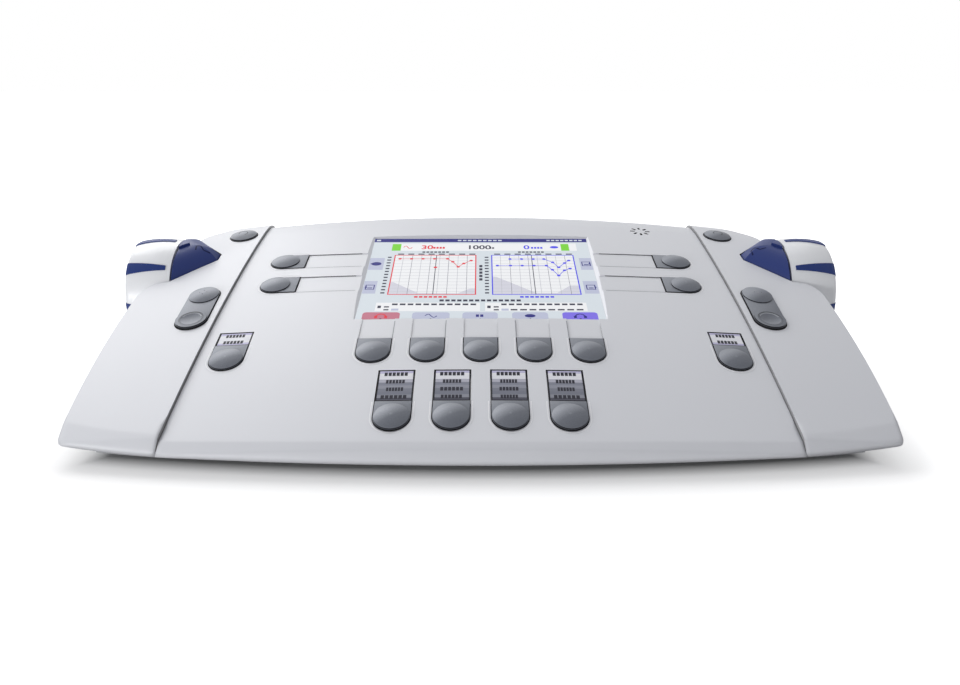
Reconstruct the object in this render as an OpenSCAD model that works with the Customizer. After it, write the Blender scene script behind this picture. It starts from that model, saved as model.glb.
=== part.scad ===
// Desktop audiometer: a low sloping console with a screen, soft keys and a dial at each side.
// World frame: +X right, +Y to the back, +Z up, origin under the middle, on the table.
// Panel frame: the screen's plane. x right, t up the slope from the screen's lower edge, n off the screen.

/* [Housing] */
// Slope of the screen above the table, degrees
panel_tilt = 14; // [13:0.5:15]
// Height of the screen's lower edge above the table
screen_z = 38.4; // [38:0.1:40]
// Half the width of the body at its widest
half_w = 168.1; // [167:0.1:170]
// Radius of the bowed side edges in plan
side_r = 850; // [700:10:1200]
// Half the width of the centre cover at the screen's lower edge, where the seams run
seam_x = 122.3; // [121.5:0.1:122.6]
// Angle by which the seams spread apart towards the front, degrees
seam_flare = 1.15; // [0.9:0.05:1.3]
// Height of the cheek covers above the centre cover
cheek_rise = 1.5; // [1.2:0.1:1.8]
// Wall thickness of the covers and the lower case
wall = 2.5; // [2.2:0.1:2.8]
// Radius of the top surface along the slope
arc_r = 1000; // [900:10:1200]
// Radius of the top surface across the body
crown_r = 2000; // [1800:50:2600]
// Back face of the body behind the screen's lower edge
rear_y = 135.4; // [134:0.2:138]
// Radius that rolls the top over into the back
rear_roll_r = 22; // [18:1:24]
// Step from the covers' edge in to the lower case
case_step = 1; // [0.6:0.1:1.6]
// Height of the rubber feet
foot_h = 3; // [2.6:0.1:3.4]
// Radius of the rubber feet
foot_r = 7; // [6:0.5:9]

/* [Front lip] */
// Front edge of the centre cover, along the panel
front_t = -87.2; // [-88:0.1:-86.5]
// Front edge of the centre cover, off the panel
front_n = -11.7; // [-12:0.1:-11.5]
// Plan radius of the centre cover's front edge
front_r = 1400; // [1200:20:1600]
// Slope of the centre cover's lip, degrees
lip_slope = 49; // [45:1:55]
// Slope of the cheek covers' lip, degrees
cheek_lip_slope = 35; // [32:1:40]
// Slope of the softer brow above the centre cover's lip, degrees
brow_slope = 25; // [23:1:28]
// Plan radius of the centre cover's brow
brow_r = 690; // [660:10:720]
// Slope of the brow above the cheek covers' lip, degrees
cheek_brow_slope = 17; // [16:1:18]
// Plan radius of the cheek covers' brow
cheek_brow_r = 211; // [208:1:214]
// Plan radius of the cheeks' front edge
cheek_front_r = 400; // [380:10:420]
// Fall of the parting plane below the panel, degrees
part_drop = 3.3; // [3.1:0.1:3.5]

/* [Screen] */
// Width of the visible screen
screen_w = 115.2; // [112:0.2:116]
// Height of the visible screen
screen_h = 86.4; // [84:0.2:88]
// Width of the bevel round the screen
bevel_w = 1.6; // [1.2:0.1:2]
// Thickness of the screen's window
window_th = 1.5; // [1.2:0.1:1.8]
// Thickness of the screen module
lcd_th = 6.5; // [5.5:0.5:8]

/* [Keys] */
// Width of every key's opening
key_w = 15.5; // [15:0.1:16]
// Gap round a key cap
key_gap = 0.4; // [0.35:0.05:0.5]
// Travel of a key
key_travel = 0.8; // [0.6:0.1:0.9]
// Height of a key's domed top above its rim
dome_h = 1.3; // [1:0.1:1.6]
// Height of a key's rim above its shoulders
rim_h = 0.5; // [0.3:0.1:0.7]
// Length of a soft key's opening
soft_len = 17.9; // [17:0.1:18.4]
// Pitch of the soft keys
soft_pitch = 23.26; // [22.5:0.02:24]
// Middle of the soft keys along the panel
soft_t = -24.55; // [-25:0.05:-24]
// Length of a side key's opening
side_len = 18.9; // [18:0.1:19.4]
// Middle of the side keys from the centre line
side_key_x = 99.05; // [98:0.05:100]
// Middle of the back pair of side keys along the panel
side_back_t = 58.4; // [57.5:0.1:59.5]
// Middle of the front pair of side keys along the panel
side_front_t = 33.3; // [32.5:0.1:34.5]
// Front end of the function keys' openings along the panel
function_t = -74.6; // [-75:0.1:-74]
// Length of a function key's cap space
function_len = 17.1; // [16.6:0.1:17.6]
// Length of a function key's label window space
function_label = 19.3; // [18.5:0.1:19.8]
// Front end of the talk keys' openings along the panel
talk_t = -35.7; // [-36.5:0.1:-35]
// Middle of the talk keys from the centre line
talk_x = 109.5; // [109:0.1:109.8]
// Length of a talk key's cap space
talk_len = 18.2; // [17.6:0.1:18.8]
// Length of a talk key's label window space
talk_label = 9.9; // [9:0.1:10.4]
// Diameter of the round keys' openings
round_d = 15.4; // [15:0.1:16]
// Middle of the round keys from the centre line
round_x = 131; // [130.6:0.1:131.4]
// Middle of the round keys along the panel
round_t = 92.6; // [91.8:0.1:93]
// Depth of the shallow strips that lead from the screen to its keys
strip_depth = 0.35; // [0.25:0.05:0.5]

/* [Rocker keys] */
// Length of a rocker key's opening
rocker_len = 37.4; // [36.5:0.1:38]
// Middle of the rocker keys from the centre line
rocker_x = 133; // [132.4:0.1:133.6]
// Middle of the rocker keys along the panel
rocker_t = 12.65; // [12:0.05:13.5]
// Gap round a rocker key
rocker_gap = 0.6; // [0.55:0.05:0.7]
// Depth of a rocker key's pivot below the cover's surface
rocker_pivot = 6.5; // [6:0.1:7]

/* [Dials] */
// Middle of the dials along the panel
dial_t = 64; // [63:0.5:65]
// Radius of a dial
dial_r = 28.3; // [27.5:0.1:28.8]
// Inner face of the side wall beside a dial, from the centre line
notch_x = 156; // [155.6:0.1:156.4]
// Outer face of a dial from the centre line
dial_end_x = 180; // [178:0.5:184]
// Number of grip strips round a dial
grip_count = 8; // [6:1:8]
// Width of a grip strip at the outer end
grip_wide = 7; // [5:0.5:8]
// Width of a grip strip at the inner end
grip_narrow = 2.4; // [2:0.1:3.5]
// Radius of a dial's shaft
shaft_r = 3; // [2.5:0.1:3.2]
// Running clearance of shafts and pins
run_gap = 0.05; // [0.03:0.01:0.08]

/* [Tone bars] */
// Radius of a tone bar round the dial's axis
bar_r = 28; // [27.6:0.1:28.2]
// Reach of a tone bar towards the middle of the body
bar_reach = 18.3; // [17.8:0.1:18.8]
// Radius of the rolls along a tone bar's edges
bar_roll_r = 13.6; // [13:0.1:14.2]
// Gap round a tone bar
bar_gap = 0.8; // [0.7:0.05:0.95]
// Lower face of a tone bar, off the panel
bar_floor_n = -9.4; // [-9.8:0.1:-9]
// Place of a tone bar's pivot along the panel
bar_pivot_t = 84; // [83.5:0.1:84.5]
// Place of a tone bar's pivot off the panel
bar_pivot_n = -15.5; // [-15.8:0.1:-15.2]

/* [Boards] */
// Upper face of the centre key board, off the panel
board_n = -12.2; // [-12.3:0.05:-12]
// Upper face of the cheek key boards, off the panel
cheek_board_n = -14; // [-14.2:0.1:-13.8]
// Thickness of the circuit boards
board_th = 1.2; // [1:0.1:1.4]
// Height of a key switch with its plunger
switch_h = 2.2; // [2:0.1:2.3]
// Width of a key switch
switch_w = 6; // [5:0.1:6.2]

/* [Back] */
// Middle height of the sockets above the table
socket_z = 22; // [21:0.5:23]
// Pitch of the audio sockets
jack_pitch = 23; // [21:0.5:23.5]
// Number of audio sockets
jack_count = 6; // [4:1:6]
// Bore radius of an audio socket
jack_bore_r = 3.2; // [3.1:0.05:3.3]
// Height of the connector bay
bay_h = 24; // [23:0.5:26]
// Half the width of the connector bay
bay_w = 104; // [103:0.5:105]

/* [Hidden] */

// Fineness of the long arcs and of the small round parts
long_fn = 720;
small_fn = 48;

// Where the parts sit, worked out from the sizes above
apex_t = 47;
apex_n = 2.4;
front_y = front_t * cos(panel_tilt) - front_n * sin(panel_tilt);
origin_y = -(rear_y + front_y) / 2;
floor_z = foot_h + wall;
seam_gap = 0.15;
seat_gap = 0.3;
dial_n = front_n - (dial_t - front_t) * tan(part_drop);
dial_x = notch_x + bar_gap;
dial_edge_r = 2.2;
key_flange = 1.2;
key_seat = 0.5;
stem_gap = 0.5;
flange_lip = 1.1;
shoulder = 0.3;
pin_r = 1.5;
bar_ball_in = 2.1;
bar_mid_t = 66;
bar_half_t = 23.2;
bar_turn = 42.5;
bar_edge_n = -1.6;
bar_edge_slope = 65;
screw_r = 1.45;
big = 500;
through = 90;

// ---------------------------------------------------------------- frames and surfaces

// Places children given in the panel frame
module panel() {
    translate([0, origin_y, screen_z]) rotate([panel_tilt, 0, 0]) children();
}

// Places children given in the parting plane's frame, whose origin is the front edge
module parting() {
    panel() translate([0, front_t, front_n]) rotate([-part_drop, 0, 0]) children();
}

// Places children given in plan, with y measured from the screen's lower edge
module plan() {
    translate([0, origin_y, 0]) children();
}

// Height of the top surface off the panel at (x, t)
function slope_n(t) = apex_n - arc_r + sqrt(arc_r * arc_r - pow(t - apex_t, 2));
function surface_n(x, t, rise = 0) =
    rise + apex_n - crown_r + sqrt(pow(crown_r + slope_n(t) - apex_n, 2) - x * x);

// Tilts of the surface along the slope and across it, degrees
function tilt_t(t) = -asin((t - apex_t) / arc_r);
function tilt_x(x) = asin(x / crown_r);

// Places children on the top surface at (x, t), with z off the surface
module on_surface(x, t, rise = 0) {
    panel() translate([x, t, surface_n(x, t, rise)]) rotate([tilt_t(t), tilt_x(x), 0]) children();
}

// Everything below the doubly curved top, which lies "inset" under the outer surface
module under_top(inset = 0, rise = 0) {
    panel() translate([0, 0, apex_n - crown_r + rise])
        rotate([-90, 0, 0]) rotate([0, 0, -96])
            rotate_extrude(angle = 12, $fn = long_fn) {
                intersection() {
                    translate([crown_r - arc_r, apex_t]) circle(r = arc_r - inset, $fn = long_fn);
                    translate([crown_r - 90, -120]) square([110, 300]);
                }
            }
}

// Everything behind a lip: a cone round an upright axis, whose edge passes (axis_x, edge_t)
module behind_lip(axis_x, edge_t, edge_n, r, slope, inset = 0) {
    run = 1 / tan(slope);
    edge = r - inset / sin(slope);
    low = 60;
    high = 30;
    panel() translate([axis_x, edge_t + r, edge_n])
        rotate([0, 0, -120])
            rotate_extrude(angle = 60, $fn = long_fn)
                polygon([[r - 330, -low], [edge + low * run, -low], [edge - high * run, high], [r - 330, high]]);
}

// Everything under a brow: a gentler cone that softens the crease above the lip
module under_brow(axis_x, edge_t, edge_n, r, slope, inset = 0) {
    run = 1 / tan(slope);
    edge = r - inset / sin(slope);
    low = 30;
    high = 20;
    panel() translate([axis_x, edge_t + r, edge_n])
        rotate_extrude($fn = long_fn)
            polygon([[0, -low], [edge + low * run, -low], [edge - high * run, high], [0, high]]);
}

// Everything in front of the rolled back edge, swept on a tilted arc that follows the crown
rear_start_t = 105;
rear_sweep_r = 878;
rear_sweep_tilt = 22.4;
rear_line_rise = 6.7;
module before_rear(inset = 0, rise = 0) {
    total = panel_tilt + rear_sweep_tilt;
    start_n = slope_n(rear_start_t);
    start_y = rear_start_t * cos(panel_tilt) - start_n * sin(panel_tilt);
    wall_x = rear_y - start_y - inset;
    r = rear_roll_r - inset;
    mid_x = wall_x - r;
    mid_y = mid_x * tan(rear_line_rise) - (r + inset) / cos(rear_line_rise);
    panel() translate([0, rear_start_t, start_n + rise]) rotate([rear_sweep_tilt, 0, 0])
        translate([0, -rear_sweep_r, 0]) rotate([0, 0, 73])
            rotate_extrude(angle = 34, $fn = long_fn)
                translate([rear_sweep_r, 0]) rotate(-total) {
                    polygon([
                        [-290, -90], [wall_x, -90], [wall_x, mid_y], [mid_x, mid_y],
                        [mid_x - r * sin(rear_line_rise), mid_y + r * cos(rear_line_rise)],
                        [-290, (-290) * tan(rear_line_rise) - inset / cos(rear_line_rise)],
                    ]);
                    translate([mid_x, mid_y]) circle(r = r, $fn = 96);
                }
}

// ---------------------------------------------------------------- plan outline of the body

function arc(c, r, a0, a1, steps) =
    [for (i = [0 : steps]) c + r * [cos(a0 + (a1 - a0) * i / steps), sin(a0 + (a1 - a0) * i / steps)]];
function angle_to(c, p) = atan2(p[1] - c[1], p[0] - c[0]);
// The lower of the two points at distance ra from a and rb from b
function meet(a, ra, b, rb) =
    let (d = norm(b - a), u = (b - a) / d, s = (d * d + ra * ra - rb * rb) / (2 * d), h = sqrt(ra * ra - s * s),
         p = a + s * u, v = [u[1], -u[0]])
    (p + h * v)[1] < (p - h * v)[1] ? p + h * v : p - h * v;

side_c = [half_w - side_r, 8];
front_c = [0, front_y + front_r + 20];
cheek_c = [70.5, front_y + 401.9];
corner_r = 4;
shoulder_r = 14.5;
notch_y = 43;
heel_r = 20;
heel_y = 82;
chamfer = 38;
back_corner_r = 30;
back_sweep_r = 1091;
back_c = [0, rear_y - back_sweep_r];

// Right half of the outline, from the front middle round to the back middle.
// "front_out" moves the front out and "inset" moves everything else in.
function half_outline(inset, front_out, rear_out) =
    let (
        fr = front_r + 20 + front_out,
        cr = cheek_front_r + front_out,
        sr = side_r - inset,
        kc = meet(side_c, sr - corner_r, cheek_c, cr - corner_r),
        sc = [side_c[0] + sqrt(pow(side_r - shoulder_r, 2) - pow(notch_y - shoulder_r - side_c[1], 2)),
              notch_y - shoulder_r],
        shr = shoulder_r - inset,
        wx = notch_x - inset,
        hc = [notch_x - heel_r, heel_y],
        hr = heel_r - inset,
        line_p = hc + hr * [sin(chamfer), cos(chamfer)],
        br = back_corner_r,
        big_r = back_sweep_r - inset + rear_out,
        dir = [-cos(chamfer), sin(chamfer)],
        from = line_p - br * [sin(chamfer), cos(chamfer)] - back_c,
        b = from * dir,
        cc = from * from - pow(big_r - br, 2),
        bc = back_c + from + dir * (-b + sqrt(b * b - cc)),
        seam = [seam_x, cheek_c[1] - sqrt(cr * cr - pow(seam_x - cheek_c[0], 2))]
    )
    concat(
        arc(front_c, fr, -90, angle_to(front_c, [seam_x, front_c[1] - fr]), 4),
        arc(cheek_c, cr, angle_to(cheek_c, seam), angle_to(cheek_c, kc), 4),
        arc(kc, corner_r, angle_to(cheek_c, kc), angle_to(side_c, kc), 5),
        arc(side_c, sr, angle_to(side_c, kc) + 0.4, angle_to(side_c, sc), 7),
        arc(sc, shr, angle_to(side_c, sc) + 6, acos((wx - sc[0]) / shr), 9),
        arc(hc, hr, 0, 90 - chamfer, 7),
        arc(bc, br, 90 - chamfer, angle_to(back_c, bc), 5),
        arc(back_c, big_r, angle_to(back_c, bc), 90, 4)
    );

module outline(inset = 0, front_out = 0.5, rear_out = 0) {
    right = half_outline(inset, front_out, rear_out);
    last = len(right) - 1;
    polygon(concat(right, [for (i = [1 : last - 1]) [-right[last - i][0], right[last - i][1]]]));
}

// ---------------------------------------------------------------- key openings, by plan shape

// A key's outline: round at -y and straight at +y
module d_shape(w, len) {
    translate([0, (w - len) / 2]) circle(d = w, $fn = small_fn);
    translate([-w / 2, (w - len) / 2]) square([w, len - w / 2]);
}

module stadium(w, len) {
    for (s = [-1, 1]) translate([0, s * (len - w) / 2]) circle(d = w, $fn = small_fn);
    translate([-w / 2, (w - len) / 2]) square([w, len - w]);
}

soft_xs = [for (i = [-2 : 2]) i * soft_pitch];
function_xs = [for (i = [-3 : 2 : 3]) i * soft_pitch / 2];
function_all = function_len + function_label;
talk_all = talk_len + talk_label;
function_mid = function_t + function_all / 2;
talk_mid = talk_t + talk_all / 2;
side_ts = [side_back_t, side_front_t];

// Cuts through the centre cover, one for each key
module centre_key_openings() {
    cut = 2 * wall + 3;
    for (x = soft_xs)
        on_surface(x, soft_t) translate([0, 0, -cut]) linear_extrude(2 * cut) d_shape(key_w, soft_len);
    for (x = function_xs)
        on_surface(x, function_mid) translate([0, 0, -cut]) linear_extrude(2 * cut)
            d_shape(key_w, function_all);
    for (s = [-1, 1])
        on_surface(s * talk_x, talk_mid) translate([0, 0, -cut]) linear_extrude(2 * cut)
            d_shape(key_w, talk_all);
    for (s = [-1, 1], t = side_ts)
        on_surface(s * side_key_x, t) translate([0, 0, -cut]) rotate([0, 0, s * 90]) linear_extrude(2 * cut)
            d_shape(key_w, side_len);
}

// Strips that lead from the screen to the keys, in the panel's plan
module strip_plan() {
    strip_w = key_w - 0.6;
    for (x = soft_xs)
        translate([x - strip_w / 2, soft_t]) square([strip_w, -soft_t + 1]);
    for (s = [-1, 1], t = side_ts)
        translate([s < 0 ? -side_key_x : screen_w / 2 - 1, t - strip_w / 2])
            square([side_key_x - screen_w / 2 + 1, strip_w]);
}

module strips() {
    difference() {
        panel() translate([0, 0, -12]) linear_extrude(30) strip_plan();
        under_top(strip_depth);
    }
}

// The screen's opening: a bevelled mouth and a straight pocket for the window
module screen_opening() {
    panel() {
        intersection() {
            translate([0, big, 0]) rotate([90, 0, 0]) linear_extrude(2 * big)
                polygon([
                    [-screen_w / 2, -1], [screen_w / 2, -1], [screen_w / 2, 0],
                    [screen_w / 2 + 3 * bevel_w, 4], [-screen_w / 2 - 3 * bevel_w, 4], [-screen_w / 2, 0],
                ]);
            translate([-big, 0, 0]) rotate([90, 0, 90]) linear_extrude(2 * big)
                polygon([
                    [0, -1], [screen_h, -1], [screen_h, 0], [screen_h + 3 * bevel_w, 4], [-bevel_w, 4], [0, 0],
                ]);
        }
        translate([-screen_w / 2 - bevel_w - 0.1, -bevel_w - 0.1, -20])
            cube([screen_w + 2 * bevel_w + 0.2, screen_h + 2 * bevel_w + 0.2, 20]);
    }
}

// ---------------------------------------------------------------- bosses and screws

// Case screws, in plan
centre_posts = [[-100, -58], [100, -58], [-104, 104], [104, 104]];
cheek_posts = [[144, -46], [128, 106]];
// Height of the parting plane at a place in plan
part_slope = panel_tilt - part_drop;
part_z0 = screen_z + front_t * sin(panel_tilt) + front_n * cos(panel_tilt);
function part_z(y) = part_z0 + (y - front_y) * tan(part_slope);
post_r = 4;
post_hole_r = 1.5;
case_screw_r = 1.45;
screw_head_r = 3;
screw_head_h = 2;
screw_sink = 2.2;

function mirrored(p) = [-p[0], p[1]];
all_posts = concat(centre_posts, cheek_posts, [for (p = cheek_posts) mirrored(p)]);

// A post that hangs from a cover and ends where the case's post begins
module cover_post(p) {
    intersection() {
        plan() translate([p[0], p[1], 0]) cylinder(r = post_r, h = 90, $fn = small_fn);
        above_parting();
    }
}
module cover_post_hole(p) {
    plan() translate([p[0], p[1], part_z(p[1]) - 1]) cylinder(r = post_hole_r, h = 5.8, $fn = small_fn);
}

// Bosses that carry the key board, in the panel's plan
board_posts = [[-58, -66], [58, -66], [-82, -3], [82, -3], [-82, 69], [82, 69]];
bracket_x = screen_w / 2 + 8.4;
bracket_posts = [[-bracket_x, 12], [bracket_x, 12], [-bracket_x, 76], [bracket_x, 76]];
bracket_n = -window_th - lcd_th - seat_gap;
board_post_r = 3;

module panel_post(p, end_n) {
    panel() translate([p[0], p[1], end_n]) cylinder(r = board_post_r, h = 40, $fn = small_fn);
}
module panel_post_hole(p, end_n) {
    panel() translate([p[0], p[1], end_n - 1]) cylinder(r = post_hole_r, h = 4.6, $fn = small_fn);
}
module panel_screw(p, face_n) {
    panel() translate([p[0], p[1], face_n]) {
        translate([0, 0, -1.6]) cylinder(r = 2.6, h = 1.6, $fn = small_fn);
        cylinder(r = screw_r, h = 4.4, $fn = small_fn);
    }
}

// ---------------------------------------------------------------- covers

module above_parting() {
    parting() translate([-big, -60, seam_gap]) cube([2 * big, 400, 200]);
}

// Half the width between the seams at t
function seam_at(t) = seam_x - t * tan(seam_flare);

// The band between the seams, "inset" inside them, and what lies outboard of the right-hand one
seam_reach = 200;
module between_seams(inset) {
    near = seam_at(-seam_reach) - inset;
    far = seam_at(seam_reach) - inset;
    panel() translate([0, 0, -big]) linear_extrude(2 * big)
        polygon([[-near, -seam_reach], [near, -seam_reach], [far, seam_reach], [-far, seam_reach]]);
}
module outside_seam(inset) {
    near = seam_at(-seam_reach) + inset;
    far = seam_at(seam_reach) + inset;
    panel() translate([0, 0, -big]) linear_extrude(2 * big)
        polygon([[near, -seam_reach], [half_w + 5, -seam_reach], [half_w + 5, seam_reach], [far, seam_reach]]);
}

module centre_shape(inset) {
    intersection() {
        under_top(inset);
        behind_lip(0, front_t, front_n, front_r, lip_slope, inset);
        under_brow(0, brow_t, front_n, brow_r, brow_slope, inset);
        before_rear(inset);
        plan() translate([0, 0, -20]) linear_extrude(120) outline(inset, 1.5, 1.5);
        between_seams(seam_gap + inset / 2);
    }
}

speaker_x = 89;
speaker_t = 98;
speaker_r = 8;
speaker_drop = 0.3;

// Ring of short sound slots over the speaker
module speaker_slots() {
    on_surface(speaker_x, speaker_t) {
        for (a = [0 : 45 : 315])
            rotate([0, 0, a]) translate([4.2, 0, -through]) linear_extrude(2 * through)
                translate([-1.3, -0.6]) square([2.6, 1.2]);
    }
}

module centre_cover() {
    color("whitesmoke") difference() {
        union() {
            intersection() {
                difference() {
                    centre_shape(0);
                    centre_shape(wall);
                }
                above_parting();
            }
            intersection() {
                centre_shape(wall / 2);
                union() {
                    for (p = centre_posts) cover_post(p);
                    for (p = board_posts) panel_post(p, board_n + seam_gap);
                    for (p = bracket_posts) panel_post(p, bracket_n + seam_gap);
                }
            }
        }
        centre_key_openings();
        strips();
        screen_opening();
        speaker_slots();
        for (p = centre_posts) cover_post_hole(p);
        for (p = board_posts) panel_post_hole(p, board_n);
        for (p = bracket_posts) panel_post_hole(p, bracket_n);
    }
}

// A roll along one edge of a tone bar. It slopes up from "place" towards the direction "turn".
module bar_roll(grow, place, turn) {
    reach = 200;
    panel() translate([place[0], place[1], bar_edge_n]) rotate([0, 0, turn])
        translate([bar_roll_r * sin(bar_edge_slope), reach, -bar_roll_r * cos(bar_edge_slope)])
            rotate([90, 0, 0]) linear_extrude(2 * reach) {
                circle(r = bar_roll_r + grow, $fn = 120);
                translate([0, -reach]) square([reach, 2 * reach]);
                translate([-bar_roll_r - grow, -reach]) square([reach, reach]);
            }
}

// Space of a tone bar: a ball inboard of the side wall, rolled off towards its front, back and tip
module bar_space(grow, end_x) {
    intersection() {
        panel() translate([notch_x - bar_ball_in, dial_t, dial_n]) sphere(r = bar_r + grow, $fn = 120);
        panel() translate([0, dial_t - big, dial_n - big]) cube([end_x, 2 * big, 2 * big]);
        bar_roll(grow, [notch_x, bar_mid_t - bar_half_t], bar_turn);
        bar_roll(grow, [notch_x, bar_mid_t + bar_half_t], -bar_turn);
        bar_roll(grow, [notch_x - bar_reach, bar_mid_t], 0);
    }
}

module cheek_shape(inset) {
    intersection() {
        under_top(inset, cheek_rise);
        behind_lip(cheek_c[0], cheek_lip_t, cheek_lip_n, cheek_front_r, cheek_lip_slope, inset);
        under_brow(cheek_c[0], cheek_brow_t, front_n, cheek_brow_r, cheek_brow_slope, inset);
        before_rear(inset, cheek_rise);
        plan() translate([0, 0, -20]) linear_extrude(120) outline(inset, 0.6, 2);
        outside_seam(seam_gap + inset / 2);
    }
}
// Lip edge of the cheeks on their own axis, on the parting plane
cheek_lip_t = -85.2;
cheek_lip_n = front_n - (cheek_lip_t - front_t) * tan(part_drop);

// Front ends of the brows, at the depth of the centre cover's front edge
brow_t = front_t - 6.1;
cheek_brow_t = front_t - 8.5;

ear_t = 3;
bar_ear_x = [137.9, 140.3];
bar_lug_x = [141, 151.6];

module cheek_cover() {
    color("whitesmoke") difference() {
        union() {
            intersection() {
                difference() {
                    cheek_shape(0);
                    cheek_shape(wall);
                }
                above_parting();
            }
            intersection() {
                cheek_shape(wall / 2);
                union() {
                    for (p = cheek_posts) cover_post(p);
                    for (p = cheek_board_posts) panel_post(p, cheek_board_n + seam_gap);
                    rocker_ears();
                    bar_ear();
                }
            }
        }
        on_surface(rocker_x, rocker_t, cheek_rise) translate([0, 0, -wall - 3]) linear_extrude(2 * wall + 6)
            stadium(key_w, rocker_len);
        on_surface(round_x, round_t, cheek_rise) translate([0, 0, -through])
            cylinder(d = round_d, h = 2 * through, $fn = small_fn);
        intersection() {
            bar_space(bar_gap, big);
            panel() translate([0, 0, bar_floor_n - 3]) cube([big, big, 60]);
        }
        dial_clearance();
        for (p = cheek_posts) cover_post_hole(p);
        for (p = cheek_board_posts) panel_post_hole(p, cheek_board_n);
        encoder_hole();
        rocker_pin_line(pin_r);
        bar_pin_line(pin_r);
    }
}

// Room for the turning dial outside the side wall
module dial_clearance() {
    panel() translate([notch_x, dial_t, dial_n]) rotate([0, 90, 0])
        cylinder(r = dial_r + 1.1, h = 60, $fn = 180);
}

bush_r = 4.5;
module encoder_hole() {
    panel() translate([notch_x - 12, dial_t, dial_n]) rotate([0, 90, 0])
        cylinder(r = bush_r + 0.2, h = 20, $fn = small_fn);
}

// Ears under the cheek that hold the rocker's pin
module rocker_ears() {
    for (s = [-1, 1])
        on_surface(rocker_x, rocker_t, cheek_rise)
            translate([s * (key_w / 2 + 2.4) - 1.2, -ear_t, -rocker_pivot - 3]) cube([2.4, 2 * ear_t, rocker_pivot + 3]);
}
pin_seam_gap = 0.8;
module rocker_pin_line(r) {
    inner = rocker_x - seam_x - pin_seam_gap;
    on_surface(rocker_x, rocker_t, cheek_rise) translate([-inner, 0, -rocker_pivot]) rotate([0, 90, 0])
        cylinder(r = r, h = inner + key_w / 2 + 3.6, $fn = small_fn);
}

// Inner ear of the tone bar's pin. The side wall holds its other end.
module bar_ear() {
    panel() translate([bar_ear_x[0], bar_pivot_t - ear_t, bar_pivot_n - 3])
        cube([bar_ear_x[1] - bar_ear_x[0], 2 * ear_t, 30]);
}
module bar_pin_line(r) {
    panel() translate([bar_ear_x[0], bar_pivot_t, bar_pivot_n]) rotate([0, 90, 0])
        cylinder(r = r, h = notch_x - 0.8 - bar_ear_x[0], $fn = small_fn);
}

// ---------------------------------------------------------------- lower case

// A tub set back from the covers' edge, with sides that slope in towards the floor
tub_foot_x = 152;
tub_slope = 0.625;
tub_front = 7.3;
module tub_sides(inset) {
    foot_x = tub_foot_x - inset * 1.18;
    top_x = foot_x + 60 * tub_slope;
    translate([0, big, foot_h]) rotate([90, 0, 0]) linear_extrude(2 * big)
        polygon([[-foot_x, 0], [foot_x, 0], [top_x, 60], [-top_x, 60]]);
}

module case_shape(inset, low) {
    intersection() {
        plan() translate([0, 0, low]) linear_extrude(100)
            outline(case_step + inset, -tub_front - inset, 0);
        tub_sides(inset);
    }
}

// A thin rim that runs under the covers' edge
rim_th = 1.2;
rim_front = 2.5;
module case_rim() {
    difference() {
        intersection() {
            plan() linear_extrude(100) outline(case_step, -rim_front, 0);
            parting() translate([-big, -60, -seam_gap - rim_th]) cube([2 * big, 400, rim_th]);
        }
        case_shape(wall, floor_z);
    }
}

bay_x = bay_w - 4;
bay_y = 125.5;
module bay_box(grow) {
    plan() translate([-bay_x - grow, bay_y, socket_z - bay_h / 2 - grow])
        cube([2 * (bay_x + grow), 20, bay_h + 2 * grow]);
}

// Ribs across the floor, and the posts that the boards stand on
main_posts = [[-90, 0], [90, 0], [-90, 84], [90, 84]];
main_post_h = 3.5;
module lower_case() {
    color("gainsboro") difference() {
        union() {
            intersection() {
                union() {
                    difference() {
                        case_shape(0, foot_h);
                        case_shape(wall, floor_z);
                    }
                    case_rim();
                    intersection() {
                        case_shape(wall / 2, foot_h);
                        union() {
                            for (p = all_posts)
                                plan() translate([p[0], p[1], foot_h]) cylinder(r = post_r, h = 60, $fn = small_fn);
                            for (p = main_posts)
                                plan() translate([p[0], p[1], foot_h])
                                    cylinder(r = post_r, h = wall + main_post_h, $fn = small_fn);
                            for (s = [-1, 1])
                                plan() translate([s * 112 - 1, -40, foot_h]) cube([2, 130, wall + 4]);
                            bay_box(bay_w - bay_x);
                        }
                    }
                }
                parting() translate([-big, -60, -200]) cube([2 * big, 400, 200 - seam_gap]);
            }
        }
        bay_box(0);
        for (p = all_posts) case_post_hole(p);
        for (p = main_posts)
            plan() translate([p[0], p[1], floor_z]) cylinder(r = post_hole_r, h = 10, $fn = small_fn);
        for (p = foot_places) foot_socket(p);
        for (s = [0, 1]) mirror([s, 0, 0]) {
            encoder_hole();
            dial_clearance();
        }
    }
}

module case_post_hole(p) {
    plan() translate([p[0], p[1], 0]) {
        cylinder(r = case_screw_r + 0.25, h = 80, $fn = small_fn);
        cylinder(r = screw_head_r + 0.3, h = foot_h + screw_sink, $fn = small_fn);
    }
}

foot_places = [[-132, -52], [132, -52], [-124, 92], [124, 92]];
foot_plug_r = 2;
module foot_socket(p) {
    plan() translate([p[0], p[1], foot_h - 1]) cylinder(r = foot_plug_r, h = 1 + wall / 2, $fn = small_fn);
}

module rubber_feet() {
    color("dimgray") for (p = foot_places) plan() translate([p[0], p[1], 0]) {
        rotate_extrude($fn = small_fn)
            polygon([[0, 0], [foot_r - 1, 0], [foot_r, 1], [foot_r, foot_h], [0, foot_h]]);
        cylinder(r = foot_plug_r - 0.05, h = foot_h + wall / 2 - 0.1, $fn = small_fn);
    }
}

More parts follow.
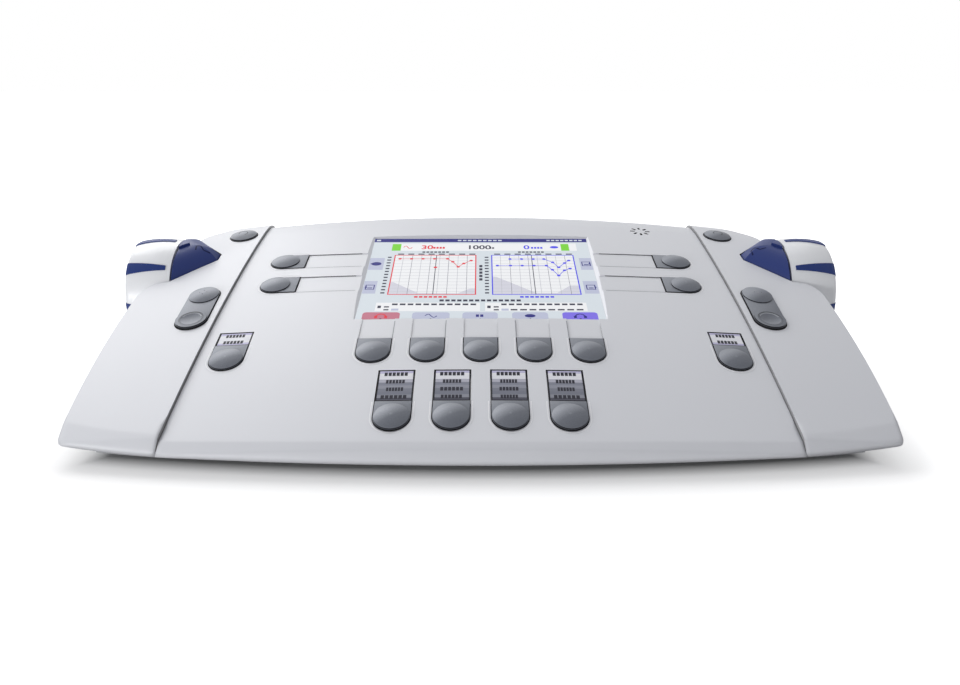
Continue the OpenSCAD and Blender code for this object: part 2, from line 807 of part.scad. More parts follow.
module case_screws() {
    color("silver") for (p = all_posts) plan() translate([p[0], p[1], 0]) {
        translate([0, 0, foot_h + screw_sink - screw_head_h]) difference() {
            cylinder(r = screw_head_r, h = screw_head_h, $fn = small_fn);
            translate([0, 0, -1]) linear_extrude(2) {
                square([3.4, 0.8], center = true);
                square([0.8, 3.4], center = true);
            }
        }
        translate([0, 0, foot_h + screw_sink]) cylinder(r = case_screw_r, h = part_z(p[1]) + 4.4 - foot_h - screw_sink, $fn = small_fn);
    }
}

module board_screws() {
    color("silver") {
        for (p = board_posts) panel_screw(p, board_n - board_th);
        for (p = bracket_posts) panel_screw(p, bracket_n - bracket_th);
        for (p = main_posts) plan() translate([p[0], p[1], floor_z + main_post_h + board_th]) {
            cylinder(r = 2.6, h = 1.6, $fn = small_fn);
            translate([0, 0, -4.4]) cylinder(r = screw_r, h = 4.4, $fn = small_fn);
        }
        for (s = [-1, 1], q = cheek_board_posts)
            panel_screw([s * q[0], q[1]], cheek_board_n - board_th);
    }
}

// ---------------------------------------------------------------- screen

module display_window() {
    color("lightsteelblue", 0.6) panel()
        translate([-screen_w / 2 - bevel_w, -bevel_w, -window_th])
            cube([screen_w + 2 * bevel_w, screen_h + 2 * bevel_w, window_th - 0.02]);
}

module lcd_module() {
    color("dimgray") panel() {
        translate([-screen_w / 2 - bevel_w, -bevel_w, -window_th - 0.1 - lcd_th])
            cube([screen_w + 2 * bevel_w, screen_h + 2 * bevel_w, lcd_th]);
    }
}

bracket_th = 1;
module lcd_bracket() {
    color("silver") difference() {
        panel() {
            translate([-screen_w / 2 - 2, -1, bracket_n - bracket_th])
                cube([screen_w + 4, screen_h + 2, bracket_th]);
            for (p = bracket_posts)
                translate([p[0] + (p[0] < 0 ? -4 : -9), p[1] - 4, bracket_n - bracket_th]) cube([13, 8, bracket_th]);
        }
        panel() translate([-screen_w / 2 + 12, 12, bracket_n - 5]) cube([screen_w - 24, screen_h - 24, 10]);
        for (p = bracket_posts)
            panel() translate([p[0], p[1], bracket_n - 5]) cylinder(r = post_hole_r + 0.1, h = 10, $fn = small_fn);
    }
}

// ---------------------------------------------------------------- keys

// A moulded key: straight skirt, shoulders, domed round end, flange under the cover and a stem
module key(len, stem_n, x, t, rise = 0, cap = "d", y = 0) {
    w = key_w - 2 * key_gap;
    l = len - 2 * key_gap;
    below = -wall - key_seat;
    round_y = (w - l) / 2;
    stem_z = stem_n - surface_n(x, t, rise);
    round_w = cap == "d" ? w : round_d - 2 * key_gap;
    round_at = cap == "d" ? round_y : 0;
    dome_w = round_w - 0.5;
    ball_r = (pow(dome_w / 2, 2) + dome_h * dome_h) / (2 * dome_h);
    color("darkgray") union() {
        translate([0, 0, below - key_flange]) linear_extrude(shoulder - below + key_flange)
            if (cap == "d") d_shape(w, l); else circle(d = round_w, $fn = small_fn);
        translate([0, cap == "d" ? -flange_lip / 2 : 0, below - key_flange]) linear_extrude(key_flange)
            if (cap == "d") d_shape(w + 2 * flange_lip, l + flange_lip);
            else circle(d = round_w + 2 * flange_lip, $fn = small_fn);
        translate([0, round_at, 0]) {
            intersection() {
                translate([0, 0, -1]) cylinder(d = dome_w, h = 6, $fn = small_fn);
                translate([0, 0, shoulder + rim_h + dome_h - ball_r]) sphere(r = ball_r, $fn = 96);
            }
        }
        translate([0, 0, stem_z]) cylinder(r = 2, h = below - stem_z, $fn = small_fn);
    }
}

key_stem_n = board_n + switch_h + key_travel + stem_gap;
cheek_stem_n = cheek_board_n + switch_h + key_travel + stem_gap;

module soft_key(i) {
    on_surface(soft_xs[i - 1], soft_t) key(soft_len, key_stem_n, soft_xs[i - 1], soft_t);
}
module side_key(s, t) {
    on_surface(s * side_key_x, t) rotate([0, 0, s * 90]) key(side_len, key_stem_n, side_key_x, t);
}
module function_key(i) {
    y = (function_len - function_all) / 2;
    on_surface(function_xs[i - 1], function_mid) translate([0, y, 0])
        key(function_len, key_stem_n, function_xs[i - 1], function_t + function_len / 2);
}
module big_key(s) {
    y = (talk_len - talk_all) / 2;
    on_surface(s * talk_x, talk_mid) translate([0, y, 0])
        key(talk_len, key_stem_n, talk_x, talk_t + talk_len / 2);
}
module round_key() {
    on_surface(round_x, round_t, cheek_rise) key(round_d, cheek_stem_n, round_x, round_t, cheek_rise, "round");
}

// A clear label window: a plate that fills its part of the opening, with a ledge under the cover
module label_window(space) {
    w = key_w - 2 * key_gap;
    l = space - 2 * key_gap;
    color("lavender") {
        translate([-w / 2, -l / 2, -wall - seat_gap - 0.1]) cube([w, l, wall + seat_gap - 0.2]);
        translate([-w / 2 - flange_lip, -l / 2 + 0.5, -wall - seat_gap - key_flange])
            cube([w + 2 * flange_lip, l + flange_lip - 0.5, key_flange]);
    }
}
module label_windows() {
    for (x = function_xs)
        on_surface(x, function_mid) translate([0, (function_all - function_label) / 2, 0])
            label_window(function_label);
    for (s = [-1, 1])
        on_surface(s * talk_x, talk_mid) translate([0, (talk_all - talk_label) / 2, 0])
            label_window(talk_label);
}

// A rocking key: a dome at the back end, a dish at the front end and a barrel on its pin
pad_y = 12;
pad_gap = 0.6;
rocker_angle = 2.2;
module rocker() {
    w = key_w - 2 * key_gap;
    l = rocker_len - 2 * rocker_gap;
    dome_w = w - 0.5;
    end_y = (l - w) / 2;
    ball_r = (pow(dome_w / 2, 2) + dome_h * dome_h) / (2 * dome_h);
    dish_r = 5.2;
    dish_d = 0.9;
    dish_ball = (dish_r * dish_r + dish_d * dish_d) / (2 * dish_d);
    pad_n = cheek_board_n + switch_h + pad_y * sin(rocker_angle) + pad_gap;
    pad_z = pad_n - surface_n(rocker_x, rocker_t, cheek_rise);
    on_surface(rocker_x, rocker_t, cheek_rise) color("darkgray") difference() {
        union() {
            translate([0, 0, -wall]) linear_extrude(wall + 0.6) stadium(w, l);
            translate([0, end_y, 0]) intersection() {
                translate([0, 0, -1]) cylinder(d = dome_w, h = 6, $fn = small_fn);
                translate([0, 0, 1 + dome_h - ball_r]) sphere(r = ball_r, $fn = 96);
            }
            translate([0, -end_y, 0]) cylinder(d = dome_w, h = 1.2, $fn = small_fn);
            translate([-w / 2 + 1, -3, -rocker_pivot]) cube([w - 2, 6, rocker_pivot]);
            translate([-w / 2 + 1, 0, -rocker_pivot]) rotate([0, 90, 0])
                cylinder(r = 3, h = w - 2, $fn = small_fn);
            for (s = [-1, 1]) translate([0, s * pad_y, pad_z]) cylinder(r = 2, h = -pad_z - 1, $fn = small_fn);
        }
        translate([0, -end_y, 1.2 - dish_d + dish_ball]) sphere(r = dish_ball, $fn = 96);
        translate([-w, 0, -rocker_pivot]) rotate([0, 90, 0])
            cylinder(r = pin_r + run_gap, h = 2 * w, $fn = small_fn);
    }
}

module rocker_pins() {
    color("silver") for (s = [0, 1]) mirror([s, 0, 0]) rocker_pin_line(pin_r);
}

// ---------------------------------------------------------------- tone bars and dials

bar_th = 2.4;
bar_angle = 2.2;
bar_switch = [150, 52];
bar_arm_t = 75;
bar_arm_th = 3.2;
bar_weld = 0.4;
bar_stem_n = cheek_board_n + switch_h + (bar_pivot_t - bar_switch[1]) * sin(bar_angle) + stem_gap;
module tone_bar() {
    end_x = notch_x - seat_gap;
    lug_w = bar_lug_x[1] - bar_lug_x[0];
    color("midnightblue") difference() {
        union() {
            difference() {
                intersection() {
                    bar_space(0, end_x);
                    panel() translate([0, 0, bar_floor_n]) cube([big, big, 60]);
                }
                bar_space(-bar_th, end_x - bar_th);
            }
            intersection() {
                bar_space(-bar_th / 2, end_x - bar_th / 2);
                panel() translate([bar_switch[0], bar_switch[1], bar_floor_n]) cylinder(r = 1.8, h = 40, $fn = small_fn);
            }
            panel() {
                translate([bar_switch[0], bar_switch[1], bar_stem_n])
                    cylinder(r = 1.8, h = bar_floor_n + bar_weld - bar_stem_n, $fn = small_fn);
                translate([bar_lug_x[0], bar_arm_t, bar_floor_n - bar_arm_th])
                    cube([lug_w, bar_pivot_t + 3 - bar_arm_t, bar_arm_th + bar_weld]);
                translate([bar_lug_x[0], bar_pivot_t - 3, bar_pivot_n])
                    cube([lug_w, 6, bar_floor_n - bar_pivot_n + bar_weld]);
                translate([bar_lug_x[0], bar_pivot_t, bar_pivot_n]) rotate([0, 90, 0])
                    cylinder(r = 3, h = lug_w, $fn = small_fn);
            }
        }
        panel() translate([bar_lug_x[0] - 5, bar_pivot_t, bar_pivot_n]) rotate([0, 90, 0])
            cylinder(r = pin_r + run_gap, h = 30, $fn = small_fn);
    }
}

module tone_bar_pins() {
    color("silver") for (s = [0, 1]) mirror([s, 0, 0]) bar_pin_line(pin_r);
}

// Half section of a dial's outer skin: a crowned barrel of short tapers with a bevelled outer edge
dial_crown_r = 50;
dial_crown_x = 166;
dial_tapers = 7;
function dial_r_at(x) = dial_r - pow(x - dial_crown_x, 2) / (2 * dial_crown_r);
module dial_section(grow) {
    end = dial_end_x + (grow > 0 ? 0 : grow);
    last = dial_end_x - dial_edge_r;
    polygon(concat(
        [[0, dial_x]],
        [for (i = [0 : dial_tapers]) let (x = dial_x + (last - dial_x) * i / dial_tapers) [dial_r_at(x) + grow, x]],
        [[dial_r_at(last) - 0.3 * dial_edge_r + grow, end - 0.3 * dial_edge_r], [dial_r_at(last) - dial_edge_r + grow, end]],
        [[0, end]]
    ));
}

module on_dial_axis() {
    panel() translate([0, dial_t, dial_n]) rotate([0, 90, 0]) children();
}

// Tapered strip outlines round the dial
module grip_prisms(gap) {
    in_x = dial_x + 2.4;
    for (k = [0 : grip_count - 1])
        on_dial_axis() rotate([0, 0, k * 360 / grip_count + grip_phase]) rotate([0, 90, 0]) translate([0, 0, 19])
            linear_extrude(23)
                polygon([
                    [-in_x + gap, -grip_narrow / 2 - gap], [-in_x + gap, grip_narrow / 2 + gap],
                    [-dial_end_x - 2, grip_wide / 2 + gap], [-dial_end_x - 2, -grip_wide / 2 - gap],
                ]);
}
grip_phase = 36;
grip_depth = 0.9;
grip_proud = 0.5;
hub_r = 7;
hub_x = 163;

module dial() {
    color("white") difference() {
        on_dial_axis() difference() {
            rotate_extrude($fn = 180) dial_section(0);
            difference() {
                translate([0, 0, dial_x - 1]) cylinder(r = dial_r - wall, h = dial_end_x - wall - dial_x + 1, $fn = 180);
                translate([0, 0, hub_x]) cylinder(r = hub_r, h = 30, $fn = small_fn);
            }
            translate([0, 0, hub_x - 1]) cylinder(r = shaft_r, h = 13, $fn = small_fn);
        }
        intersection() {
            grip_prisms(0);
            on_dial_axis() rotate_extrude($fn = 180) difference() {
                dial_section(2);
                dial_section(-grip_depth);
            }
        }
    }
}

module dial_grips() {
    color("midnightblue") intersection() {
        grip_prisms(-0.02);
        on_dial_axis() rotate_extrude($fn = 180) difference() {
            dial_section(grip_proud);
            dial_section(0.02 - grip_depth);
        }
    }
}

encoder_x = notch_x - case_step - wall - seat_gap;
encoder_th = 7;
module dial_shaft() {
    color("silver") on_dial_axis() translate([0, 0, encoder_x - encoder_th + 2])
        cylinder(r = shaft_r, h = hub_x + 11.8 - encoder_x + encoder_th - 2, $fn = small_fn);
}

// A rotary encoder behind the side wall, with its threaded bush and nut
module encoder() {
    color("gray") on_dial_axis() difference() {
        union() {
            translate([-6.5, -6.5, encoder_x - encoder_th]) cube([13, 13, encoder_th]);
            translate([0, 0, encoder_x - 1]) cylinder(r = bush_r, h = notch_x + 4 - encoder_x, $fn = small_fn);
            translate([0, 0, notch_x + 0.1]) cylinder(r = 6.3, h = 2.2, $fn = 6);
        }
        translate([0, 0, encoder_x - encoder_th + 1.7]) cylinder(r = shaft_r + run_gap, h = 20, $fn = small_fn);
    }
}

// ---------------------------------------------------------------- boards

module switch_at(p) {
    panel() translate(p) {
        translate([-switch_w / 2, -switch_w / 2, 0]) cube([switch_w, switch_w, switch_h - 0.6]);
        cylinder(r = 1.6, h = switch_h, $fn = small_fn);
    }
}

// Place where a key's stem points on a board at depth n, for a key "shift" along its opening's middle
function normal_at(x, t) =
    [sin(tilt_x(x)) * cos(tilt_t(t)), -sin(tilt_t(t)), cos(tilt_x(x)) * cos(tilt_t(t))];
function along_at(x, t) =
    [sin(tilt_x(x)) * sin(tilt_t(t)), cos(tilt_t(t)), cos(tilt_x(x)) * sin(tilt_t(t))];
function stem_foot(x, t, n, rise = 0, shift = 0) =
    let (p = [x, t, surface_n(x, t, rise)] + shift * along_at(x, t), d = normal_at(x, t))
    p + d * (n - p[2]) / d[2];

module tact_switches() {
    color("dimgray") {
        for (x = soft_xs) switch_at(stem_foot(x, soft_t, board_n));
        for (x = function_xs) switch_at(stem_foot(x, function_mid, board_n, 0, (function_len - function_all) / 2));
        for (s = [-1, 1]) {
            switch_at(stem_foot(s * talk_x, talk_mid, board_n, 0, (talk_len - talk_all) / 2));
            for (t = side_ts) switch_at(stem_foot(s * side_key_x, t, board_n));
            switch_at(stem_foot(s * round_x, round_t, cheek_board_n, cheek_rise));
            switch_at([s * bar_switch[0], bar_switch[1], cheek_board_n]);
            for (e = [-1, 1])
                switch_at(stem_foot(s * rocker_x, rocker_t, cheek_board_n, cheek_rise, e * pad_y));
        }
    }
}

module board_plate(x0, t0, x1, t1, face_n) {
    panel() translate([x0, t0, face_n - board_th]) cube([x1 - x0, t1 - t0, board_th]);
}

module centre_key_board() {
    color("darkgreen") difference() {
        board_plate(-116, -71, 116, 74, board_n);
        for (rise = [0, 5]) board_plate(-bracket_x - 5, -8, bracket_x + 5, 80, board_n + rise);
        for (p = board_posts)
            panel() translate([p[0], p[1], board_n - 5]) cylinder(r = post_hole_r + 0.1, h = 10, $fn = small_fn);
        for (p = centre_posts)
            plan() translate([p[0], p[1], 0]) cylinder(r = post_r + 0.6, h = through, $fn = small_fn);
    }
}

cheek_board_posts = [[127, -8], [126, 40], [126, 78]];
module cheek_key_board() {
    color("darkgreen") difference() {
        union() {
            board_plate(124.6, -14, 153, 55.5, cheek_board_n);
            board_plate(123.2, 52, 135, 100, cheek_board_n);
        }
        for (q = cheek_board_posts)
            panel() translate([q[0], q[1], cheek_board_n - 5]) cylinder(r = post_hole_r + 0.1, h = 10, $fn = small_fn);
    }
}

module main_board() {
    color("darkgreen") difference() {
        plan() translate([-96, -14, floor_z + main_post_h]) cube([192, 112, board_th]);
        for (p = main_posts)
            plan() translate([p[0], p[1], floor_z]) cylinder(r = post_hole_r + 0.1, h = 10, $fn = small_fn);
    }
}

module monitor_speaker() {
    color("dimgray") on_surface(speaker_x, speaker_t) {
        translate([0, 0, -wall - speaker_drop - 1.4]) cylinder(r = speaker_r, h = 1.2, $fn = small_fn);
        translate([0, 0, -wall - speaker_drop - 5]) cylinder(r = speaker_r - 3, h = 4, $fn = small_fn);
    }
}

// ---------------------------------------------------------------- back connectors

panel_th = 2;
jack_xs = [for (i = [0 : jack_count - 1]) -86 + i * jack_pitch];
usb_x = 50;
inlet_x = 68;
switch_x = 87;

module rear_panel() {
    color("darkgray") plan() difference() {
        translate([-bay_w, bay_y - panel_th - 0.1, socket_z - bay_h / 2 - 4]) cube([2 * bay_w, panel_th, bay_h + 8]);
        for (x = jack_xs) translate([x, bay_y + 5, socket_z]) rotate([90, 0, 0])
            cylinder(r = 4.7, h = 20, $fn = small_fn);
        translate([usb_x - 6.2, bay_y - 10, socket_z - 5.7]) cube([12.4, 20, 11.4]);
        translate([inlet_x, bay_y + 5, socket_z]) rotate([90, 0, 0]) cylinder(r = 5.2, h = 20, $fn = small_fn);
        translate([switch_x - 9.7, bay_y - 10, socket_z - 6.7]) cube([19.4, 20, 13.4]);
    }
}

// Panel sockets look along +y, with y = 0 on the outer face of the panel
module on_rear(x) {
    plan() translate([x, bay_y - 0.1, socket_z]) children();
}

module audio_jack(i) {
    color("dimgray") on_rear(jack_xs[i - 1]) difference() {
        union() {
            translate([-7, -24, -8]) cube([14, 24 - panel_th - 0.1, 16]);
            rotate([-90, 0, 0]) translate([0, 0, -4]) cylinder(r = 4.5, h = 6.6, $fn = small_fn);
            rotate([-90, 0, 0]) translate([0, 0, 0.1]) cylinder(r = 6.4, h = 2, $fn = 6);
        }
        rotate([-90, 0, 0]) translate([0, 0, -22]) cylinder(r = jack_bore_r, h = 40, $fn = small_fn);
    }
}

module usb_socket() {
    color("silver") on_rear(usb_x) difference() {
        translate([-6, -14, -5.5]) cube([12, 15, 11]);
        translate([-4.3, -12, -4]) cube([8.6, 20, 8]);
    }
}

module power_inlet() {
    color("dimgray") on_rear(inlet_x) {
        difference() {
            union() {
                translate([-5.5, -14, -5.5]) cube([11, 14 - panel_th - 0.1, 11]);
                rotate([-90, 0, 0]) translate([0, 0, -4]) cylinder(r = 5, h = 5, $fn = small_fn);
            }
            rotate([-90, 0, 0]) translate([0, 0, -11]) cylinder(r = 3, h = 20, $fn = small_fn);
        }
        rotate([-90, 0, 0]) translate([0, 0, -11.5]) cylinder(r = 1, h = 10, $fn = small_fn);
    }
}

module power_switch_frame() {
    color("dimgray") on_rear(switch_x) difference() {
        union() {
            translate([-9.5, -14, -6.5]) cube([19, 14.05, 13]);
            translate([-10.7, 0.05, -7.7]) cube([21.4, 1.4, 15.4]);
        }
        translate([-8.6, -11, -5.4]) cube([17.2, 20, 10.8]);
        translate([0, -3, 0]) cylinder(r = 1.2 + run_gap, h = 12.6, center = true, $fn = small_fn);
    }
}

power_angle = 7;
module power_rocker() {
    color("black") on_rear(switch_x) translate([0, -3, 0]) rotate([0, 0, power_angle]) {
        cylinder(r = 1.2, h = 12.2, center = true, $fn = small_fn);
        intersection() {
            translate([-7.5, -3, -5]) cube([15, 8.6, 10]);
            translate([0, 36, 0]) difference() {
                cylinder(r = 60, h = 12, center = true, $fn = 180);
                cylinder(r = 31.6, h = 14, center = true, $fn = 180);
            }
        }
    }
}

// ---------------------------------------------------------------- assembly

lower_case();
centre_cover();
mirror([1, 0, 0]) cheek_cover();  // left_cheek_cover
cheek_cover();  // right_cheek_cover
display_window();
lcd_module();
lcd_bracket();
label_windows();
main_board();
centre_key_board();
mirror([1, 0, 0]) cheek_key_board();  // left_key_board
cheek_key_board();  // right_key_board
tact_switches();
case_screws();
board_screws();
rubber_feet();
monitor_speaker();
mirror([1, 0, 0]) encoder();  // left_encoder
encoder();  // right_encoder
tone_bar_pins();
rocker_pins();
rear_panel();
audio_jack(1);  // jack_1
audio_jack(2);  // jack_2
audio_jack(3);  // jack_3
audio_jack(4);  // jack_4
audio_jack(5);  // jack_5
audio_jack(6);  // jack_6
usb_socket();
power_inlet();
power_switch_frame();
power_rocker();
mirror([1, 0, 0]) dial();  // left_dial
dial();  // right_dial
mirror([1, 0, 0]) dial_grips();  // left_dial_grips
dial_grips();  // right_dial_grips
mirror([1, 0, 0]) dial_shaft();  // left_dial_shaft
dial_shaft();  // right_dial_shaft
mirror([1, 0, 0]) tone_bar();  // left_tone_bar
tone_bar();  // right_tone_bar
soft_key(1);  // soft_key_1
soft_key(2);  // soft_key_2
soft_key(3);  // soft_key_3
soft_key(4);  // soft_key_4
soft_key(5);  // soft_key_5
side_key(-1, side_back_t);  // side_key_left_back
side_key(-1, side_front_t);  // side_key_left_front
side_key(1, side_back_t);  // side_key_right_back
side_key(1, side_front_t);  // side_key_right_front
function_key(1);  // function_key_1
function_key(2);  // function_key_2
function_key(3);  // function_key_3
function_key(4);  // function_key_4
big_key(-1);  // talk_key
big_key(1);  // monitor_key
mirror([1, 0, 0]) round_key();  // left_round_key
round_key();  // right_round_key
mirror([1, 0, 0]) rocker();  // left_rocker
rocker();  // right_rocker
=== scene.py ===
# %% [markdown]
# # Dressing a desktop audiometer
#
# The solids come from CAD. This script gives each of them a surface, draws what is printed on the
# screen and beside the keys, and sets up a small studio seen from the photograph's viewpoint.

# %% Load the solids
import math

import bpy
from mathutils import Matrix, Vector
from mathutils.bvhtree import BVHTree


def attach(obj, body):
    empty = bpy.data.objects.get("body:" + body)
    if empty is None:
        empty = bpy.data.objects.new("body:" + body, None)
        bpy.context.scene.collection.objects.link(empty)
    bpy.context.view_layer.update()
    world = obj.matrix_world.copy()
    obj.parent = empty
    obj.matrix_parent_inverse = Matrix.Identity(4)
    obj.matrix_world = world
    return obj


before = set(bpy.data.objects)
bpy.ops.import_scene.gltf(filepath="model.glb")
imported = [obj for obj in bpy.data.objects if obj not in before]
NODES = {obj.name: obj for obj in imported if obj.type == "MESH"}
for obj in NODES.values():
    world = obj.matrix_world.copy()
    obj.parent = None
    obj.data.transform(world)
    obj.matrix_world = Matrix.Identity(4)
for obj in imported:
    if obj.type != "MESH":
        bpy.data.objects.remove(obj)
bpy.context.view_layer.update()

# %% [markdown]
# ## The panel's own frame
#
# The screen lies in a plane tilted up towards the back. Positions on the panel are given as x to the
# right, t up the slope from the screen's lower edge and n off the screen, all in millimetres.

# %% Panel frame
TILT = math.radians(14)
SCREEN_Z = 38.4
ORIGIN_Y = -26.8103
ARC_R, CROWN_R, APEX_T, APEX_N = 1000, 2000, 47, 2.4
CHEEK_RISE = 1.5
MM = 0.001
# The body's outline on the table, in metres: its bowed front, its back and its ends
FRONT_Y, FRONT_BOW, BACK_Y, SIDE_X = -0.1086, 0.5, 0.105, 0.158
TO_WORLD = (Matrix.Translation(Vector((0, ORIGIN_Y, SCREEN_Z)) * MM)
            @ Matrix.Rotation(TILT, 4, "X") @ Matrix.Scale(MM, 4))


def surface_n(x, t, rise=0):
    """Height of the top surface off the screen's plane."""
    along = APEX_N - ARC_R + math.sqrt(ARC_R ** 2 - (t - APEX_T) ** 2)
    return rise + APEX_N - CROWN_R + math.sqrt((CROWN_R + along - APEX_N) ** 2 - x * x)


def on_surface(x, t, rise=0):
    """The frame of a key: z off the surface, y up the slope."""
    lean = Matrix.Rotation(math.asin(x / CROWN_R), 4, "Y")
    pitch = Matrix.Rotation(-math.asin((t - APEX_T) / ARC_R), 4, "X")
    return TO_WORLD @ Matrix.Translation((x, t, surface_n(x, t, rise))) @ lean @ pitch


print("screen's lower edge at", [round(v, 4) for v in TO_WORLD @ Vector((0, 0, 0))])

# %% [markdown]
# ## A short way to write shader maths
#
# Each socket is wrapped so that ordinary operators make Math nodes. That keeps a material's recipe
# readable as one or two formulas.


# %% Shader sockets with operators
class Sock:
    """A shader value that can be added, multiplied and compared like a number."""

    def __init__(self, tree, socket):
        self.tree, self.socket = tree, socket

    def math(self, operation, *others):
        node = self.tree.nodes.new("ShaderNodeMath")
        node.operation = operation
        for slot, value in zip(node.inputs, (self, *others)):
            feed(self.tree, slot, value)
        return Sock(self.tree, node.outputs[0])

    def __add__(self, other):
        return self.math("ADD", other)

    def __sub__(self, other):
        return self.math("SUBTRACT", other)

    def __rsub__(self, other):
        return (self * -1) + other

    def __mul__(self, other):
        return self.math("MULTIPLY", other)

    def clamp(self):
        return self.math("MAXIMUM", 0).math("MINIMUM", 1)


def feed(tree, slot, value):
    if isinstance(value, Sock):
        tree.links.new(value.socket, slot)
    else:
        slot.default_value = value


def inside(value, low, high):
    """1 where a value lies between two limits, else 0."""
    return value.math("GREATER_THAN", low) * value.math("LESS_THAN", high)


class Finish:
    """One material: a Principled shader and the nodes that vary it."""

    def __init__(self, name, color, rough, **constants):
        self.material = bpy.data.materials.new(name)
        self.material.use_nodes = True
        self.tree = self.material.node_tree
        self.shader = self.tree.nodes["Principled BSDF"]
        self.set("Base Color", (*color, 1))
        self.set("Roughness", rough)
        for key, value in constants.items():
            self.set(key.replace("_", " "), value)

    def set(self, name, value):
        feed(self.tree, self.shader.inputs[name], value)

    def node(self, kind, output=0, props=None, **inputs):
        """Any other node, by type, with its inputs by name."""
        made = self.tree.nodes.new("ShaderNode" + kind)
        for key, value in (props or {}).items():
            setattr(made, key, value)
        for key, value in inputs.items():
            slot = next(i for i in made.inputs if key in (i.identifier, i.name.replace(" ", "_")))
            feed(self.tree, slot, value)
        return Sock(self.tree, made.outputs[output])

    def place(self):
        return self.node("TexCoord", "Object")

    def facing(self, direction=(0, -math.sin(TILT), math.cos(TILT))):
        """How far a face looks along a direction, or off the panel: 1 for the top, 0 for a wall."""
        return self.node("VectorMath", 1, {"operation": "DOT_PRODUCT"},
                         Vector=self.node("TexCoord", "Normal"), Vector_001=direction)

    def axis(self, index, vector=None):
        return self.node("SeparateXYZ", index, Vector=vector or self.place())

    def noise(self, scale, detail=3.0):
        return self.node("TexNoise", Vector=self.place(), Scale=scale, Detail=detail)

    def mix(self, amount, low, high):
        """A colour between two colours."""
        made = self.tree.nodes.new("ShaderNodeMix")
        made.data_type = "RGBA"
        feed(self.tree, made.inputs[0], amount)
        feed(self.tree, made.inputs[6], low if isinstance(low, Sock) else (*low, 1))
        feed(self.tree, made.inputs[7], high if isinstance(high, Sock) else (*high, 1))
        return Sock(self.tree, made.outputs[2])

    def bump(self, height, distance, **more):
        self.set("Normal", self.node("Bump", Height=height, Distance=distance, Strength=1.0, **more))


def past_front(f):
    """How far a point lies ahead of the body's bowed front edge, in metres."""
    x = f.axis("X")
    return x * x * FRONT_BOW - f.axis("Y") + FRONT_Y


def moulded(name, color, rough, grain=1400, depth=0.00001, **constants):
    """Moulded plastic: a fine spark-eroded grain and faint drifts of tone and gloss."""
    f = Finish(name, color, rough, **constants)
    drift = f.noise(16)
    f.tone = f.mix(drift, [c * 0.985 for c in color], [min(1, c * 1.015) for c in color])
    f.relief = f.noise(grain, 2.0)
    f.set("Base Color", f.tone)
    f.set("Roughness", drift * 0.08 + (rough - 0.04))
    f.bump(f.relief, depth)
    return f


print("shader helpers ready")

# %% [markdown]
# ## Finishes
#
# The covers are a pale satin plastic, the keys carry a metallic grey lacquer, and the dials are
# glossier, with deep blue strips. Each recipe stays close to its real part's grain size.


# %% Plastics
# Painted highlight for the opening rims, painted shade for the opening walls and in the seams
RIM_HIGHLIGHT_TONE, WALL_SHADE_TONE, SEAM_SHADE_TONE = (0.93, 0.93, 0.95), (0.006, 0.006, 0.009), (0.27, 0.27, 0.28)
LIP_REACH, LIP_ROLL = 0.014, 0.003


def cover_plastic():
    """Pale plastic with painted highlights on the key openings' rims, painted shade on their walls and in the
    seams, and a soft front lip.
    """
    f = moulded("cover_plastic", (0.74, 0.75, 0.785), 0.42)
    up = f.facing()
    across, along = f.axis("X").math("ABSOLUTE"), f.axis("Y")
    front_keys = inside(across, 0, 0.05) * inside(along, -0.1005, -0.07)
    other_keys = inside(across, 0, 0.1552) * inside(along, -0.07, 0.082)
    screen_mouth = inside(across, 0, 0.062) * inside(along, -0.031, 0.07)
    by_keys = other_keys.math("MAXIMUM", front_keys) * (1 - screen_mouth)
    seam = inside(across, 0.1195, 0.1262)
    # Painted shade: the pale walls of the key openings and of the seams are coloured dark
    shaded_walls = by_keys.math("MAXIMUM", seam * inside(along, -0.1015, 0.12)) * ((0.6 - up) * 20).clamp()
    # Painted highlight: the bevel faces round the key openings are lightened
    rim_highlights = f.mix(by_keys * inside(up, 0.55, 0.97), f.tone, RIM_HIGHLIGHT_TONE)
    f.set("Base Color", f.mix(shaded_walls, rim_highlights, f.mix(seam, WALL_SHADE_TONE, SEAM_SHADE_TONE)))
    near_lip = ((past_front(f) + LIP_REACH) * 200).clamp()
    rounded = f.node("Bevel", props={"samples": 8}, Radius=near_lip * LIP_ROLL)
    f.bump(f.relief, 0.00001, Normal=rounded)
    return f


COVER = cover_plastic()
CASE = moulded("case_plastic", (0.36, 0.37, 0.39), 0.5)
DIAL = moulded("dial_plastic", (0.88, 0.89, 0.91), 0.3, depth=0.000004, Coat_Weight=0.1)
GRIP = moulded("blue_grip", (0.014, 0.036, 0.175), 0.42, grain=2600, Specular_IOR_Level=0.25)
BAR = moulded("blue_bar", (0.016, 0.034, 0.165), 0.44, depth=0.000006, Specular_IOR_Level=0.3)
BLACK = moulded("black_plastic", (0.012, 0.012, 0.014), 0.45)
RUBBER = moulded("foot_rubber", (0.02, 0.02, 0.021), 0.7, grain=900, depth=0.00003)
print("plastics:", [f.material.name for f in (COVER, CASE, DIAL, GRIP, BAR, BLACK, RUBBER)])


